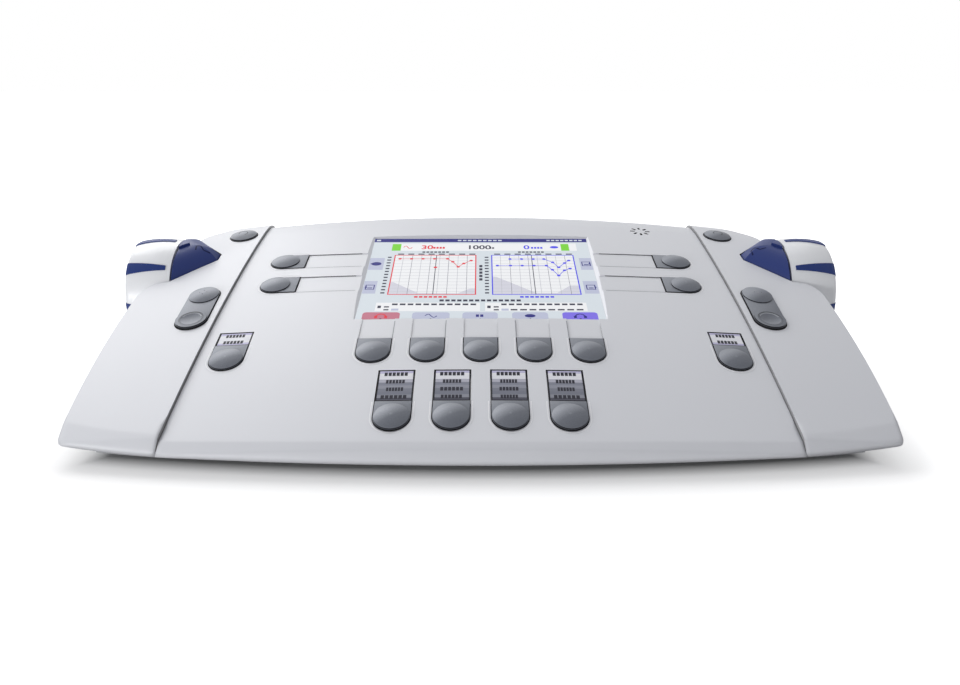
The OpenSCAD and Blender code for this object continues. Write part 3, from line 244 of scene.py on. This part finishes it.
# %% Key lacquer, metal and board
def key_lacquer():
    """Grey lacquer with fine metal flake, with painted light and shade: lighter on the faces turned up the
    slope, to the left and towards the upper left, and near black on the walls and steep bevel faces.
    """
    f = Finish("key_lacquer", (0.2, 0.21, 0.23), 0.5, Metallic=0.15, Specular_IOR_Level=0.35)
    flake = f.noise(2200, 1.0)
    # Painted light: a shaded and a lit copy of the lacquer, blended by how a face turns up the slope and to
    # the left
    up_slope, right = (0, math.cos(TILT), math.sin(TILT)), (1, 0, 0)
    box = f.node("TexCoord", "Generated")
    painted_light_lean = (f.axis("Y", box) - f.axis("X", box)) * 0.85
    painted_light_side = (f.facing(up_slope) * 2.4 - f.facing(right) * 1.0 + painted_light_lean + 0.55).clamp()
    low = f.mix(flake, (0.11, 0.12, 0.145), (0.16, 0.172, 0.20))
    high = f.mix(flake, (0.24, 0.255, 0.29), (0.33, 0.345, 0.38))
    lacquer = f.mix(painted_light_side, low, high)
    # Painted shade: walls and steep bevel faces near black
    f.set("Base Color", f.mix(((0.8 - f.facing()) * 12).clamp(), lacquer, (0.012, 0.012, 0.015)))
    f.bump(f.noise(1500, 2.0), 0.000006)
    return f


def brushed(name, color, rough):
    f = Finish(name, color, rough, Metallic=1.0)
    stretched = f.node("Mapping", Vector=f.place(), Scale=(40, 900, 900))
    streak = f.node("TexNoise", Vector=stretched, Scale=3.0, Detail=2.0)
    f.set("Roughness", streak * 0.15 + (rough - 0.07))
    f.bump(streak, 0.000004)
    return f


def board_mask():
    """Green solder mask with faint tracks."""
    f = Finish("solder_mask", (0.01, 0.1, 0.04), 0.35, Coat_Weight=0.3)
    tracks = f.node("TexBrick", 1, Vector=f.place(), Scale=180.0, Mortar_Size=0.06)
    f.set("Base Color", f.mix(tracks, (0.008, 0.085, 0.035), (0.02, 0.17, 0.07)))
    return f


KEY = key_lacquer()
STEEL = brushed("bright_steel", (0.62, 0.63, 0.65), 0.3)
DARK = brushed("dark_metal", (0.09, 0.09, 0.1), 0.4)
PANEL = moulded("panel_paint", (0.03, 0.032, 0.036), 0.38)
BOARD = board_mask()
print("metals and boards ready")


# %% Screen glass and label windows
def screen_glass():
    f = Finish("screen_glass", (0.62, 0.66, 0.74), 0.16, Coat_Weight=0.5)
    f.set("Roughness", f.noise(900, 1.0) * 0.05 + 0.14)
    return f


def label_strip():
    """The label windows: an even grey under a glossy coat; the banded strips laid over them, pale at the top
    and grey below, are a painted reflection.
    """
    f = Finish("label_window", (0.4, 0.41, 0.45), 0.2, Coat_Weight=0.6)
    f.set("Roughness", f.noise(600, 1.0) * 0.06 + 0.17)
    return f


GLASS = screen_glass()
LABEL = label_strip()
print("windows ready")

# %% Hand the finishes out
SKINS = {
    "centre_cover": COVER, "cheek_cover": COVER, "lower_case": CASE, "dial_grips": GRIP,
    "dial_shaft": STEEL, "tone_bar": BAR, "display_window": GLASS, "label_windows": LABEL,
    "lcd_module": DARK, "lcd_bracket": STEEL, "board": BOARD, "switches": BLACK, "screws": STEEL,
    "feet": RUBBER, "speaker": DARK, "encoder": DARK, "pins": STEEL, "rear_panel": PANEL,
    "jack": BLACK, "usb": STEEL, "power": BLACK, "dial": DIAL, "key": KEY, "rocker": KEY,
}


def skin_for(name):
    for part in ("key_board", "power"):
        if part in name:
            return BOARD if part == "key_board" else BLACK
    return next(f for key, f in SKINS.items() if key in name)


for name, obj in NODES.items():
    obj.data.materials.clear()
    obj.data.materials.append(skin_for(name).material)
bpy.context.view_layer.update()
print(len(NODES), "nodes finished")

# %% [markdown]
# ## Soft edges
#
# Moulded edges are never knife-sharp. A small bevel on the sharp edges of the covers, keys, rockers,
# dials and tone bars catches the light the way the photograph shows round each opening.


# %% Bevels
def soften(obj, width, segments=2, angle=32):
    mod = obj.modifiers.new("soft_edges", "BEVEL")
    mod.width = width * MM
    mod.segments = segments
    mod.limit_method = "ANGLE"
    mod.angle_limit = math.radians(angle)
    mod.use_clamp_overlap = True
    mod.harden_normals = False


for name, obj in NODES.items():
    if "cover" in name:
        soften(obj, 0.45)
    elif "key" in name and "board" not in name or name.endswith("_rocker"):
        soften(obj, 0.55)
    elif name.endswith("_dial") or "tone_bar" in name and "pins" not in name:
        soften(obj, 0.35)
print("edges softened")

# %% [markdown]
# ## Printing
#
# Everything printed is a thin flat shape laid on its surface: rectangles, strokes and plain numbers.
# Words are shown only as short bars.


# %% Flat shapes
def ink_or_painted_light(name, color, glow=0.0, rough=0.4):
    """Printed ink, or a painted highlight, shade or reflection laid on as flat colour, or with a glow the
    part of a lit screen that shows this colour.
    """
    f = Finish("ink_" + name, color, rough, Specular_IOR_Level=0.1)
    tone = f.noise(240, 2.0)
    shown = [c * (1 - glow) for c in color]
    f.set("Base Color", f.mix(tone, [c * 0.97 for c in shown], shown))
    if glow:
        f.set("Emission Color", f.mix(tone, [c * 0.98 for c in color], color))
        f.set("Emission Strength", glow)
    return f.material


def surface_of(node, at):
    """The node's surface as seen from a frame, for laying print on it."""
    place = at.inverted() @ node.matrix_world
    return BVHTree.FromPolygons([place @ v.co for v in node.data.vertices],
                                [tuple(f.vertices) for f in node.data.polygons])


def steps(points, longest):
    """The pieces of a line, none longer than a given length."""
    for (ax, ay), (bx, by) in zip(points, points[1:]):
        count = max(1, math.ceil(math.hypot(bx - ax, by - ay) / longest))
        spots = [(ax + (bx - ax) * i / count, ay + (by - ay) * i / count) for i in range(count + 1)]
        yield from zip(spots, spots[1:])


class FlatLayer:
    """Collects flat shapes in one frame and makes one mesh of them. Over a node they follow its surface."""

    def __init__(self, name, at, body="console", over=None):
        self.name, self.at, self.body = name, at, body
        self.points, self.faces, self.inks, self.picks = [], [], [], []
        self.below = surface_of(over, at) if over else None

    def height(self, x, y):
        spot = self.below.ray_cast(Vector((x, y, 60)), Vector((0, 0, -1)))[0] if self.below else None
        return spot.z if spot else 0

    def polygon(self, points, material, lift=0.0):
        if material not in self.inks:
            self.inks.append(material)
        first = len(self.points)
        self.points += [(x, y, self.height(x, y) + lift) for x, y in points]
        self.faces.append(range(first, len(self.points)))
        self.picks.append(self.inks.index(material))

    def rect(self, x0, y0, x1, y1, material, lift=0.0):
        self.polygon([(x0, y0), (x1, y0), (x1, y1), (x0, y1)], material, lift)

    def frame(self, x0, y0, x1, y1, width, material, lift=0.0):
        self.rect(x0, y0, x1, y0 + width, material, lift)
        self.rect(x0, y1 - width, x1, y1, material, lift)
        self.rect(x0, y0 + width, x0 + width, y1 - width, material, lift)
        self.rect(x1 - width, y0 + width, x1, y1 - width, material, lift)

    def stroke(self, points, width, material, lift=0.0):
        for (ax, ay), (bx, by) in steps(points, 0.8 if self.below else 1000):
            length = math.hypot(bx - ax, by - ay) or 1
            ox, oy = -(by - ay) / length * width / 2, (bx - ax) / length * width / 2
            self.polygon([(ax + ox, ay + oy), (ax - ox, ay - oy), (bx - ox, by - oy), (bx + ox, by + oy)],
                         material, lift)

    def disc(self, x, y, radius, material, lift=0.0, count=24, squash=1.0):
        turn = 2 * math.pi / count
        self.polygon([(x + radius * math.cos(i * turn), y + squash * radius * math.sin(i * turn))
                      for i in range(count)], material, lift)

    def make(self):
        mesh = bpy.data.meshes.new(self.name)
        mesh.from_pydata(self.points, [], [tuple(f) for f in self.faces])
        for material in self.inks:
            mesh.materials.append(material)
        mesh.polygons.foreach_set("material_index", self.picks)
        obj = bpy.data.objects.new(self.name, mesh)
        bpy.context.scene.collection.objects.link(obj)
        obj.data.transform(self.at)
        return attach(obj, self.body)


def number(text, x, y, height, material, name):
    """A plain number, laid flat, with its lower left corner at (x, y)."""
    curve = bpy.data.curves.new(name, "FONT")
    curve.body = text
    curve.size = height * 1.38
    curve.offset = 0.03 * height
    curve.materials.append(material)
    obj = bpy.data.objects.new(name, curve)
    bpy.context.scene.collection.objects.link(obj)
    obj.matrix_world = TO_WORLD @ Matrix.Translation((x, y, 0.05))
    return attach(obj, "console")


SCREEN_GLOW = 0.8
NAVY = ink_or_painted_light("navy", (0.018, 0.018, 0.2), SCREEN_GLOW)
RED = ink_or_painted_light("red", (0.75, 0.03, 0.05), SCREEN_GLOW)
BLUE = ink_or_painted_light("blue", (0.07, 0.07, 0.8), SCREEN_GLOW)
GREEN = ink_or_painted_light("green", (0.19, 0.66, 0.03), SCREEN_GLOW)
INK = ink_or_painted_light("dark", (0.03, 0.03, 0.06), SCREEN_GLOW)
WHITE = ink_or_painted_light("white", (0.88, 0.89, 0.91), SCREEN_GLOW)
SKY = ink_or_painted_light("screen_back", (0.68, 0.74, 0.79), SCREEN_GLOW)
GRID = ink_or_painted_light("grid", (0.50, 0.51, 0.56), SCREEN_GLOW)
LINE = ink_or_painted_light("grid_line", (0.22, 0.22, 0.27), SCREEN_GLOW)
SHADE = ink_or_painted_light("shade", (0.66, 0.66, 0.74), SCREEN_GLOW)
PINK = ink_or_painted_light("pink_tab", (0.54, 0.18, 0.25), SCREEN_GLOW)
LILAC = ink_or_painted_light("lilac_tab", (0.21, 0.16, 0.78), SCREEN_GLOW)
PALE = ink_or_painted_light("pale_tab", (0.50, 0.53, 0.68), SCREEN_GLOW)
print("inks ready")

# %% [markdown]
# ## The screen picture
#
# Two hearing charts side by side, readings above them and five tabs that line up with the soft keys.

# %% Screen background and header
screen = FlatLayer("screen_picture", TO_WORLD)
HALF_W, TOP = 57.5, 86.3


def word_bars(x0, x1, y0, y1, count, mark, lift=0.06):
    """A row of short bars where a line of words would be."""
    step = (x1 - x0) / count
    for i in range(count):
        screen.rect(x0 + i * step, y0, x0 + (i + 0.72) * step, y1, mark, lift)


def ripple(x0, x1, y, height, width, mark):
    """One wave."""
    points = [(x0 + (x1 - x0) * i / 10, y + height * math.sin(i * math.pi / 5)) for i in range(11)]
    screen.stroke(points, width, mark, 0.055)


screen.rect(-HALF_W, 0.1, HALF_W, TOP, SKY, 0.03)
screen.rect(-HALF_W, 82, HALF_W, TOP, NAVY, 0.04)
word_bars(-12.4, 12.2, 83.5, 84.9, 9, SKY)
word_bars(35.8, 55.6, 83.5, 84.9, 8, SKY)
screen.rect(-56.4, 83.3, -54.2, 85.1, SKY, 0.05)
screen.rect(-47.3, 71.5, 51.2, 80.4, WHITE, 0.04)
for x0, x1 in ((-47.3, -42.6), (42.9, 47.2)):
    screen.rect(x0, 71.6, x1, 79.8, GREEN, 0.05)
ripple(-41.2, -36.6, 75.7, 1.6, 0.5, RED)
word_bars(-25.3, -18.7, 74.0, 76.2, 4, RED)
word_bars(4.6, 7.6, 73.9, 75.8, 2, INK)
word_bars(26.9, 33.5, 74.0, 76.1, 4, BLUE)
screen.disc(39.3, 75.8, 2.3, BLUE, 0.05, squash=0.62)
for x0, x1 in ((-30.8, -16.2), (19.8, 34.0)):
    word_bars(x0, x1, 69.2, 70.7, 7, INK)
print("screen header drawn")


# %% Charts
def chart(x0, x1, mark, levels, hills, cursor):
    """A hearing chart: a framed grid, shaded floor, level curves with markers and a cursor line."""
    low, high = 23.5, 66.4
    wide, tall = x1 - x0, high - low
    screen.rect(x0, low, x1, high, WHITE, 0.04)
    screen.polygon([(x0, low)] + hills + [(x1, low)], SHADE, 0.045)
    for i in range(1, 9):
        x = x0 + wide * i / 9
        screen.rect(x - 0.12, low, x + 0.12, high, LINE if i % 2 == 0 else GRID, 0.05)
    for i in range(1, 13):
        y = low + tall * i / 13
        screen.rect(x0, y - 0.1, x1, y + 0.1, GRID, 0.05)
    screen.rect(cursor - 0.2, low, cursor + 0.2, high, INK, 0.053)
    screen.frame(x0, low, x1, high, 0.6, mark, 0.07)
    for line in levels:
        screen.stroke(line, 0.4, mark, 0.06)
        for x, y in line:
            screen.disc(x, y, 0.95, mark, 0.065, 8)
    for i in range(13):
        y = low + 1.2 + i * 3.2
        screen.rect(x0 - 3.4, y, x0 - 1.4, y + 1.3, INK, 0.06)
    for i in range(8):
        x = x0 + 1.6 + i * wide / 8
        screen.rect(x, high + 0.5, x + 3.2, high + 1.7, INK, 0.06)


chart(-45.1, -2.2, RED,
      [[(-42, 62), (-36, 62), (-30, 62), (-24, 62), (-17.3, 62), (-14.4, 58.6), (-11.5, 52.9), (-8.7, 56.6),
        (-4.9, 60)]],
      [(-45.1, 36.5), (-43, 36.2), (-30.5, 25.4), (-11.2, 24.9), (-5.2, 29.7), (-2.2, 29.7)], -23.1)
chart(5.5, 48.7, BLUE,
      [[(8.6, 54.3), (15.3, 54.3), (21.3, 54.3), (27.4, 54.3), (33.7, 54.3), (36.5, 49.6), (39.2, 43.3),
        (42.6, 49), (45.6, 51)],
       [(15.3, 61.7), (21.3, 61.7), (27.4, 61.7), (32.9, 61.7), (37.2, 58), (39.9, 52.3), (43.3, 57.1),
        (45.7, 60)]],
      [(5.5, 42.3), (7.8, 42), (26.9, 25.4), (37.1, 25.4), (43.9, 32.8), (48.7, 32.8)], 26.6)
screen.disc(-23.1, 52.3, 1.0, RED, 0.075, 8)
for i in range(5):
    screen.rect(-0.7, 38 + i * 3.6, 0.9, 40.5 + i * 3.6, INK, 0.06)
word_bars(-31.9, -15.6, 20.6, 22.2, 7, RED)
word_bars(18.9, 35.9, 20.6, 22.2, 7, BLUE)
print("charts drawn")

# %% Tables, tabs and side marks
word_bars(-19.6, 19.9, 17.0, 18.9, 14, INK)
for x0, x1 in ((-49.4, -0.3), (2.1, 49.9)):
    screen.rect(x0, 7.9, x1, 15.8, WHITE, 0.045)
    word_bars(x0 + 7.6, x1 - 0.8, 13.4, 15.0, 11, INK)
    screen.rect(x0 + 1, 10.6, x0 + 2.6, 13, INK, 0.055)
    screen.rect(x0 + 4, 11.2, x0 + 6.4, 12.4, INK, 0.055)
    screen.rect(x0 + 4, 8.5, x0 + 6.4, 9.7, INK, 0.055)
    screen.rect(x0 + 7.6, 8.3, x0 + 11, 10.2, PALE, 0.055)
word_bars(14, 49.2, 8.5, 9.8, 8, INK)
PITCH = 23.26
CORNER = 1.7


def tab(x0, x1, fill):
    """A tab with rounded upper corners."""
    points = [(x0, 0.15), (x1, 0.15)]
    for cx, start in ((x1 - CORNER, 0), (x0 + CORNER, 90)):
        for k in range(5):
            a = math.radians(start + 22.5 * k)
            points.append((cx + CORNER * math.cos(a), 6.8 - CORNER + CORNER * math.sin(a)))
    screen.polygon(points, fill, 0.045)


TABS = ((-54.6, -37.3, PINK), (-31.6, -14.3, PALE), (-8.4, 7.9, PALE), (14.5, 31.1, PALE),
        (37.7, 54.0, LILAC))
for x0, x1, fill in TABS:
    tab(x0, x1, fill)
    screen.disc((x0 + x1) / 2, 0.9, 0.45, INK, 0.06, 8)
for (x0, x1, _), mark in ((TABS[0], RED), (TABS[4], NAVY)):
    x = (x0 + x1) / 2
    turns = [math.radians(30 * k) for k in range(7)]
    arch = [(x - 2.4 * math.cos(a), 2.4 + 2.8 * math.sin(a)) for a in turns]
    screen.stroke(arch, 0.7, mark, 0.06)
    screen.rect(x - 3.0, 1.5, x - 1.6, 3.3, mark, 0.06)
    screen.rect(x + 1.6, 1.5, x + 3.0, 3.3, mark, 0.06)
ripple(-25.6, -20.2, 3.6, 1.5, 0.5, NAVY)
word_bars(-2.2, 1.8, 2.6, 4.8, 2, NAVY)
screen.disc(22.8, 3.6, 2.5, NAVY, 0.06, squash=0.6)
for x0, x1, y0, y1 in ((-57.4, -49.9, 49.6, 62.9), (-57.4, -51, 24.7, 37.5), (51.2, 57.4, 49.6, 62.9),
                       (50.5, 57.4, 24.7, 37.5)):
    screen.rect(x0, y0, x1, y1, PALE, 0.04)
    x, y = (x0 + x1) / 2, (y0 + y1) / 2
    if x0 < 0 and y0 > 40:
        screen.disc(x, y, 2.6, NAVY, 0.06, squash=0.75)
    else:
        screen.frame(x - 2.3, y - 2.4, x + 2.3, y + 2.4, 0.5, NAVY, 0.06)
        screen.rect(x - 1.2, y - 1.2, x + 1.2, y - 0.4, NAVY, 0.06)
    tip, base = (x0 + 0.5, x0 + 1.7) if x0 < 0 else (x1 - 0.5, x1 - 1.7)
    screen.polygon([(tip, y), (base, y + 1), (base, y - 1)], NAVY, 0.06)
screen_piece = screen.make()
number("30", -31.8, 73.6, 4.7, RED, "reading_left")
number("1000", -7.4, 73.6, 4.7, INK, "reading_middle")
number("0", 22.9, 73.6, 4.7, BLUE, "reading_right")
print("screen finished,", len(screen.faces), "shapes")

# %% [markdown]
# ## Labels and key marks
#
# The windows over the keys hold a strip with short bars where the words are, banded from pale at the
# top to dark below as a painted reflection. The rockers carry a plain plus and minus.

# %% Label strips
# Painted reflection: the bands run from lilac and white at the top to dark grey below
STRIP_REFLECTION_BANDS = [ink_or_painted_light(f"strip_{i}", color, rough=0.25) for i, color in enumerate((
    (0.62, 0.60, 0.80), (0.90, 0.90, 0.94), (0.88, 0.88, 0.93), (0.52, 0.52, 0.60), (0.27, 0.28, 0.34),
    (0.33, 0.34, 0.40), (0.24, 0.25, 0.30), (0.22, 0.23, 0.28), (0.30, 0.31, 0.36), (0.10, 0.10, 0.13)))]
BAR_INK = ink_or_painted_light("label_bar", (0.035, 0.035, 0.05), rough=0.3)
EDGE_INK = ink_or_painted_light("label_edge", (0.012, 0.012, 0.018), rough=0.4)
FUNCTION_LEN, FUNCTION_LABEL, FUNCTION_T = 17.1, 19.3, -74.6
TALK_LEN, TALK_LABEL, TALK_T, TALK_X = 18.2, 9.9, -35.7, 109.5
LABEL_LIFT = -0.27


def label(name, x, t_low, cap_len, label_len, bars, reflection_bands):
    whole = cap_len + label_len
    strip = FlatLayer(name, on_surface(x, t_low + whole / 2))
    y0, y1 = -whole / 2 + cap_len + 0.25, whole / 2 - 0.25
    wide = 7.35
    band = (y1 - y0) / len(reflection_bands)
    for i, tone in enumerate(reflection_bands):
        strip.rect(-wide, y1 - (i + 1) * band, wide, y1 - i * band, tone, LABEL_LIFT)
    strip.frame(-wide, y0, wide, y1, 0.4, EDGE_INK, LABEL_LIFT + 0.03)
    row = (y1 - y0) / len(bars)
    for i, bar in enumerate(bars):
        middle = y1 - (i + 0.5) * row
        for k in range(6):
            step = 2 * bar / 6
            strip.rect(-bar + k * step, middle - 0.24 * row, -bar + (k + 0.78) * step, middle + 0.24 * row,
                       BAR_INK, LABEL_LIFT + 0.02)
    made = strip.make()
    return made


WORD_WIDTHS = ((5.0, 4.0, 3.6, 5.4), (5.2, 3.9, 4.8, 4.4), (5.0, 3.6, 4.0, 3.6), (5.0, 4.0, 3.6, 5.4))
for i, bars in enumerate(WORD_WIDTHS):
    label(f"function_label_{i + 1}", (i - 1.5) * PITCH, FUNCTION_T, FUNCTION_LEN, FUNCTION_LABEL, bars, STRIP_REFLECTION_BANDS)
for side, name in ((-1, "talk_label"), (1, "monitor_label")):
    label(name, side * TALK_X, TALK_T, TALK_LEN, TALK_LABEL, (4.4, 4.6), STRIP_REFLECTION_BANDS[:3] + STRIP_REFLECTION_BANDS[1:2] + STRIP_REFLECTION_BANDS[:1])
print("labels placed")

# %% Painted shade lines along the edges of the key strips' grooves
# Painted shade: thin dark grey lines along the groove edges
GROOVE_EDGE_SHADE = ink_or_painted_light("painted_groove_shade", (0.33, 0.34, 0.37), rough=0.5)
SIDE_TS, SIDE_KEY_X, SIDE_HALF = (58.4, 33.3), 99.05, 9.45
STRIP_HALF, SCREEN_EDGE, LINE_W = 7.45, 60.5, 0.3
SOFT_T, SOFT_LEN, SCREEN_FOOT = -33.5, 17.9, -2.2
lines = FlatLayer("strip_lines", TO_WORLD, over=NODES["centre_cover"])
for side in (-1, 1):
    for t in SIDE_TS:
        for edge in (-STRIP_HALF - LINE_W / 2, STRIP_HALF + LINE_W / 2):
            far = SIDE_KEY_X - SIDE_HALF
            spots = [(side * (SCREEN_EDGE + (far - SCREEN_EDGE) * i / 6), t + edge) for i in range(7)]
            lines.stroke(spots, LINE_W, GROOVE_EDGE_SHADE, 0.03)
for i in range(5):
    for edge in (-STRIP_HALF - LINE_W / 2, STRIP_HALF + LINE_W / 2):
        reach = SOFT_T + SOFT_LEN - SCREEN_FOOT
        spots = [((i - 2) * PITCH + edge, SCREEN_FOOT + reach * k / 3) for k in range(4)]
        lines.stroke(spots, LINE_W, GROOVE_EDGE_SHADE, 0.03)
lines.make()
print("strips lined")

# %% Painted highlight lines round the keys' openings
KEY_HALF = 7.75
RIM_R = KEY_HALF + 0.72
# Painted highlight: near-white lines round each opening
RIM_HIGHLIGHT_PAINT = ink_or_painted_light("opening_rim", (0.98, 0.98, 1.0), rough=0.45)


def arc(cx, cy, radius, a0, a1, steps=24):
    turns = [math.radians(a0 + (a1 - a0) * i / steps) for i in range(steps + 1)]
    return [(cx + radius * math.cos(a), cy + radius * math.sin(a)) for a in turns]


def u_shape(x, low, length):
    """A line beside a key's opening, from its straight top round its lower end."""
    top = low + length - 0.3
    return [(x - RIM_R, top)] + arc(x, low + KEY_HALF, RIM_R, 180, 360) + [(x + RIM_R, top)]


def side_shape(side, t):
    """The same for a key that lies on its side, with its round end away from the screen."""
    near, middle = side * (SIDE_KEY_X - SIDE_HALF), side * (SIDE_KEY_X + SIDE_HALF - KEY_HALF)
    turned = [(middle + side * y, t - x) for x, y in arc(0, 0, RIM_R, 180, 0)]
    return [(near, turned[0][1])] + turned + [(near, turned[-1][1])]


OUTLINES = [u_shape((i - 2) * PITCH, SOFT_T, SOFT_LEN) for i in range(5)]
OUTLINES += [u_shape((i - 1.5) * PITCH, FUNCTION_T, FUNCTION_LEN) for i in range(4)]
OUTLINES += [u_shape(side * TALK_X, TALK_T, TALK_LEN) for side in (-1, 1)]
OUTLINES += [side_shape(side, t) for side in (-1, 1) for t in SIDE_TS]
rim_highlights = FlatLayer("opening_rims", TO_WORLD, over=NODES["centre_cover"])
for outline in OUTLINES:
    rim_highlights.stroke(outline, 0.45, RIM_HIGHLIGHT_PAINT, 0.04)
rim_highlights.make()
print(len(OUTLINES), "openings lined")

# %% Marks on the rockers, round keys and tone bars
KEY_MARK = ink_or_painted_light("key_mark", (0.075, 0.08, 0.09), rough=0.45)
KEY_RING = ink_or_painted_light("key_ring", (0.40, 0.42, 0.45), rough=0.35)
BAR_MARK = ink_or_painted_light("bar_mark", (0.006, 0.010, 0.05), rough=0.5)
ROCKER_X, ROCKER_T, DISH_Y = 133, 12.65, -10.6
ROUND_X, ROUND_T = 131, 92.6
WAVE_X, WAVE_T = 144.6, 63.2
WAVE = ((-3, -1), (-3.4, 2), (-1.5, 2.8), (0.6, 0.3), (3.6, 0.4))


def print_over(name, at, node):
    """A print that lies on a moving node and rides with it."""
    return FlatLayer(name, at, node, NODES[node])


for side, hand in ((-1, "left"), (1, "right")):
    at = on_surface(side * ROCKER_X, ROCKER_T, CHEEK_RISE)
    rocker = print_over(hand + "_rocker_marks", at, hand + "_rocker")
    rocker.rect(-1.9, 10.7, 1.9, 11.3, KEY_MARK, 0.03)
    if side < 0:
        rocker.rect(-0.3, 9.1, 0.3, 12.9, KEY_MARK, 0.04)
    rocker.stroke(arc(0, DISH_Y, 5.3, 0, 360, 32), 0.7, KEY_MARK, 0.03)
    rocker.stroke(arc(0, DISH_Y, 4.6, 20, 160, 16), 0.5, KEY_RING, 0.04)
    rocker.make()
    at = on_surface(side * ROUND_X, ROUND_T, CHEEK_RISE)
    key = print_over(hand + "_round_mark", at, hand + "_round_key")
    key.stroke(arc(0, 0, 2.4, -60, 200, 16), 0.5, KEY_MARK, 0.03)
    key.make()
    bar = print_over(hand + "_bar_mark", TO_WORLD, hand + "_tone_bar")
    bar.stroke([(side * WAVE_X + x, WAVE_T + t) for x, t in WAVE], 0.6, BAR_MARK, 0.04)
    bar.make()
print("keys and bars marked")

# %% [markdown]
# ## The studio
#
# A white floor and backdrop and three soft lights. The key light, at the left, makes the panel fade
# from bright on that side to grey on the right, and a low one lights the front lip. The floor adds
# white only where it is far from the object, so the real shadow under the rim stays; how that white
# fades in near the body's outline is a painted shadow fade.


# %% Floor
def seen_directly(tree):
    """1 for what the camera, a mirror or glass sees, 0 for what lights other surfaces."""
    rays = tree.nodes.new("ShaderNodeLightPath")
    seen = [Sock(tree, rays.outputs[f"Is {kind} Ray"]) for kind in ("Camera", "Glossy", "Transmission")]
    return seen[0].math("MAXIMUM", seen[1]).math("MAXIMUM", seen[2])


def gap_to_body(f):
    """Distance on the floor from the body's outline, in metres and less than zero under it."""
    ahead = past_front(f).math("MAXIMUM", f.axis("Y") - BACK_Y)
    side = f.axis("X").math("ABSOLUTE") - SIDE_X
    out_y, out_x = ahead.math("MAXIMUM", 0), side.math("MAXIMUM", 0)
    return (out_y * out_y + out_x * out_x).math("SQRT") + ahead.math("MAXIMUM", side).math("MINIMUM", 0)


NEAR_GLOW, NEAR_RISE, FAR_RISE = 0.42, 45, 11


def floor_paint():
    """Pale and matt, and white to the camera away from the body, with a painted shadow fade: the added white
    falls off towards the body's outline and goes to none under it.
    """
    f = Finish("studio_floor", (0.66, 0.66, 0.66), 0.9, Specular_IOR_Level=0.1)
    f.set("Roughness", f.noise(3.0) * 0.05 + 0.85)
    gap = gap_to_body(f)
    # Painted shadow fade: the added white grows with distance from the body's outline
    whiteness_past_painted_shadow = (gap * NEAR_RISE + NEAR_GLOW).math("MINIMUM", gap * FAR_RISE + NEAR_GLOW).clamp()
    f.set("Emission Color", f.mix(whiteness_past_painted_shadow * seen_directly(f.tree), (0, 0, 0), (1, 1, 1)))
    f.set("Emission Strength", 1.0)
    return f.material


FLOOR_HALF = 6
floor_mesh = bpy.data.meshes.new("floor")
floor_mesh.from_pydata([(x * FLOOR_HALF, y * FLOOR_HALF, 0) for x, y in ((-1, -1), (1, -1), (1, 1), (-1, 1))],
                       [], [(0, 1, 2, 3)])
floor_mesh.materials.append(floor_paint())
floor = bpy.data.objects.new("floor", floor_mesh)
bpy.context.scene.collection.objects.link(floor)
print("floor laid")

# %% Backdrop
FILL = 0.38
world = bpy.data.worlds.new("studio")
bpy.context.scene.world = world
world.use_nodes = True
tree = world.node_tree
mixer = tree.nodes.new("ShaderNodeMix")
mixer.data_type = "RGBA"
feed(tree, mixer.inputs[0], seen_directly(tree))
mixer.inputs[6].default_value = (FILL * 0.97, FILL * 0.98, FILL * 1.02, 1)
mixer.inputs[7].default_value = (1, 1, 1, 1)
tree.links.new(mixer.outputs[2], tree.nodes["Background"].inputs["Color"])
tree.nodes["Background"].inputs["Strength"].default_value = 1.0
print("backdrop white, with a fill of", FILL)


# %% Lights
def area(name, place, target, size, power):
    data = bpy.data.lights.new(name, "AREA")
    data.shape = "RECTANGLE"
    data.size, data.size_y = size
    data.energy = power
    lamp = bpy.data.objects.new(name, data)
    lamp.location = place
    lamp.rotation_euler = (Vector(target) - Vector(place)).to_track_quat("-Z", "Y").to_euler()
    bpy.context.scene.collection.objects.link(lamp)


area("key_light", (-0.54, 0.6, 0.72), (-0.02, 0, 0), (0.7, 0.7), 5.1)
area("top_light", (0.1, 0.7, 1.0), (0, 0, 0), (1.2, 0.8), 2.2)
area("front_light", (-0.55, -0.6, 0.06), (-0.05, -0.1, 0.03), (0.5, 0.1), 2.4)
print("lights placed")

# %% Camera
camera_data = bpy.data.cameras.new("photo_camera")
camera_data.lens = 30.49
camera_data.sensor_width = 36.0
camera_data.shift_x = -0.65 / 960
camera = bpy.data.objects.new("photo_camera", camera_data)
camera.location = (0, (ORIGIN_Y - 355.7) * MM, 0.1459)
camera.rotation_euler = (math.radians(90 - 18.41), 0, 0)
bpy.context.scene.collection.objects.link(camera)
bpy.context.scene.camera = camera
bpy.context.scene.view_settings.view_transform = "Standard"
print("camera at", [round(v, 4) for v in camera.location])
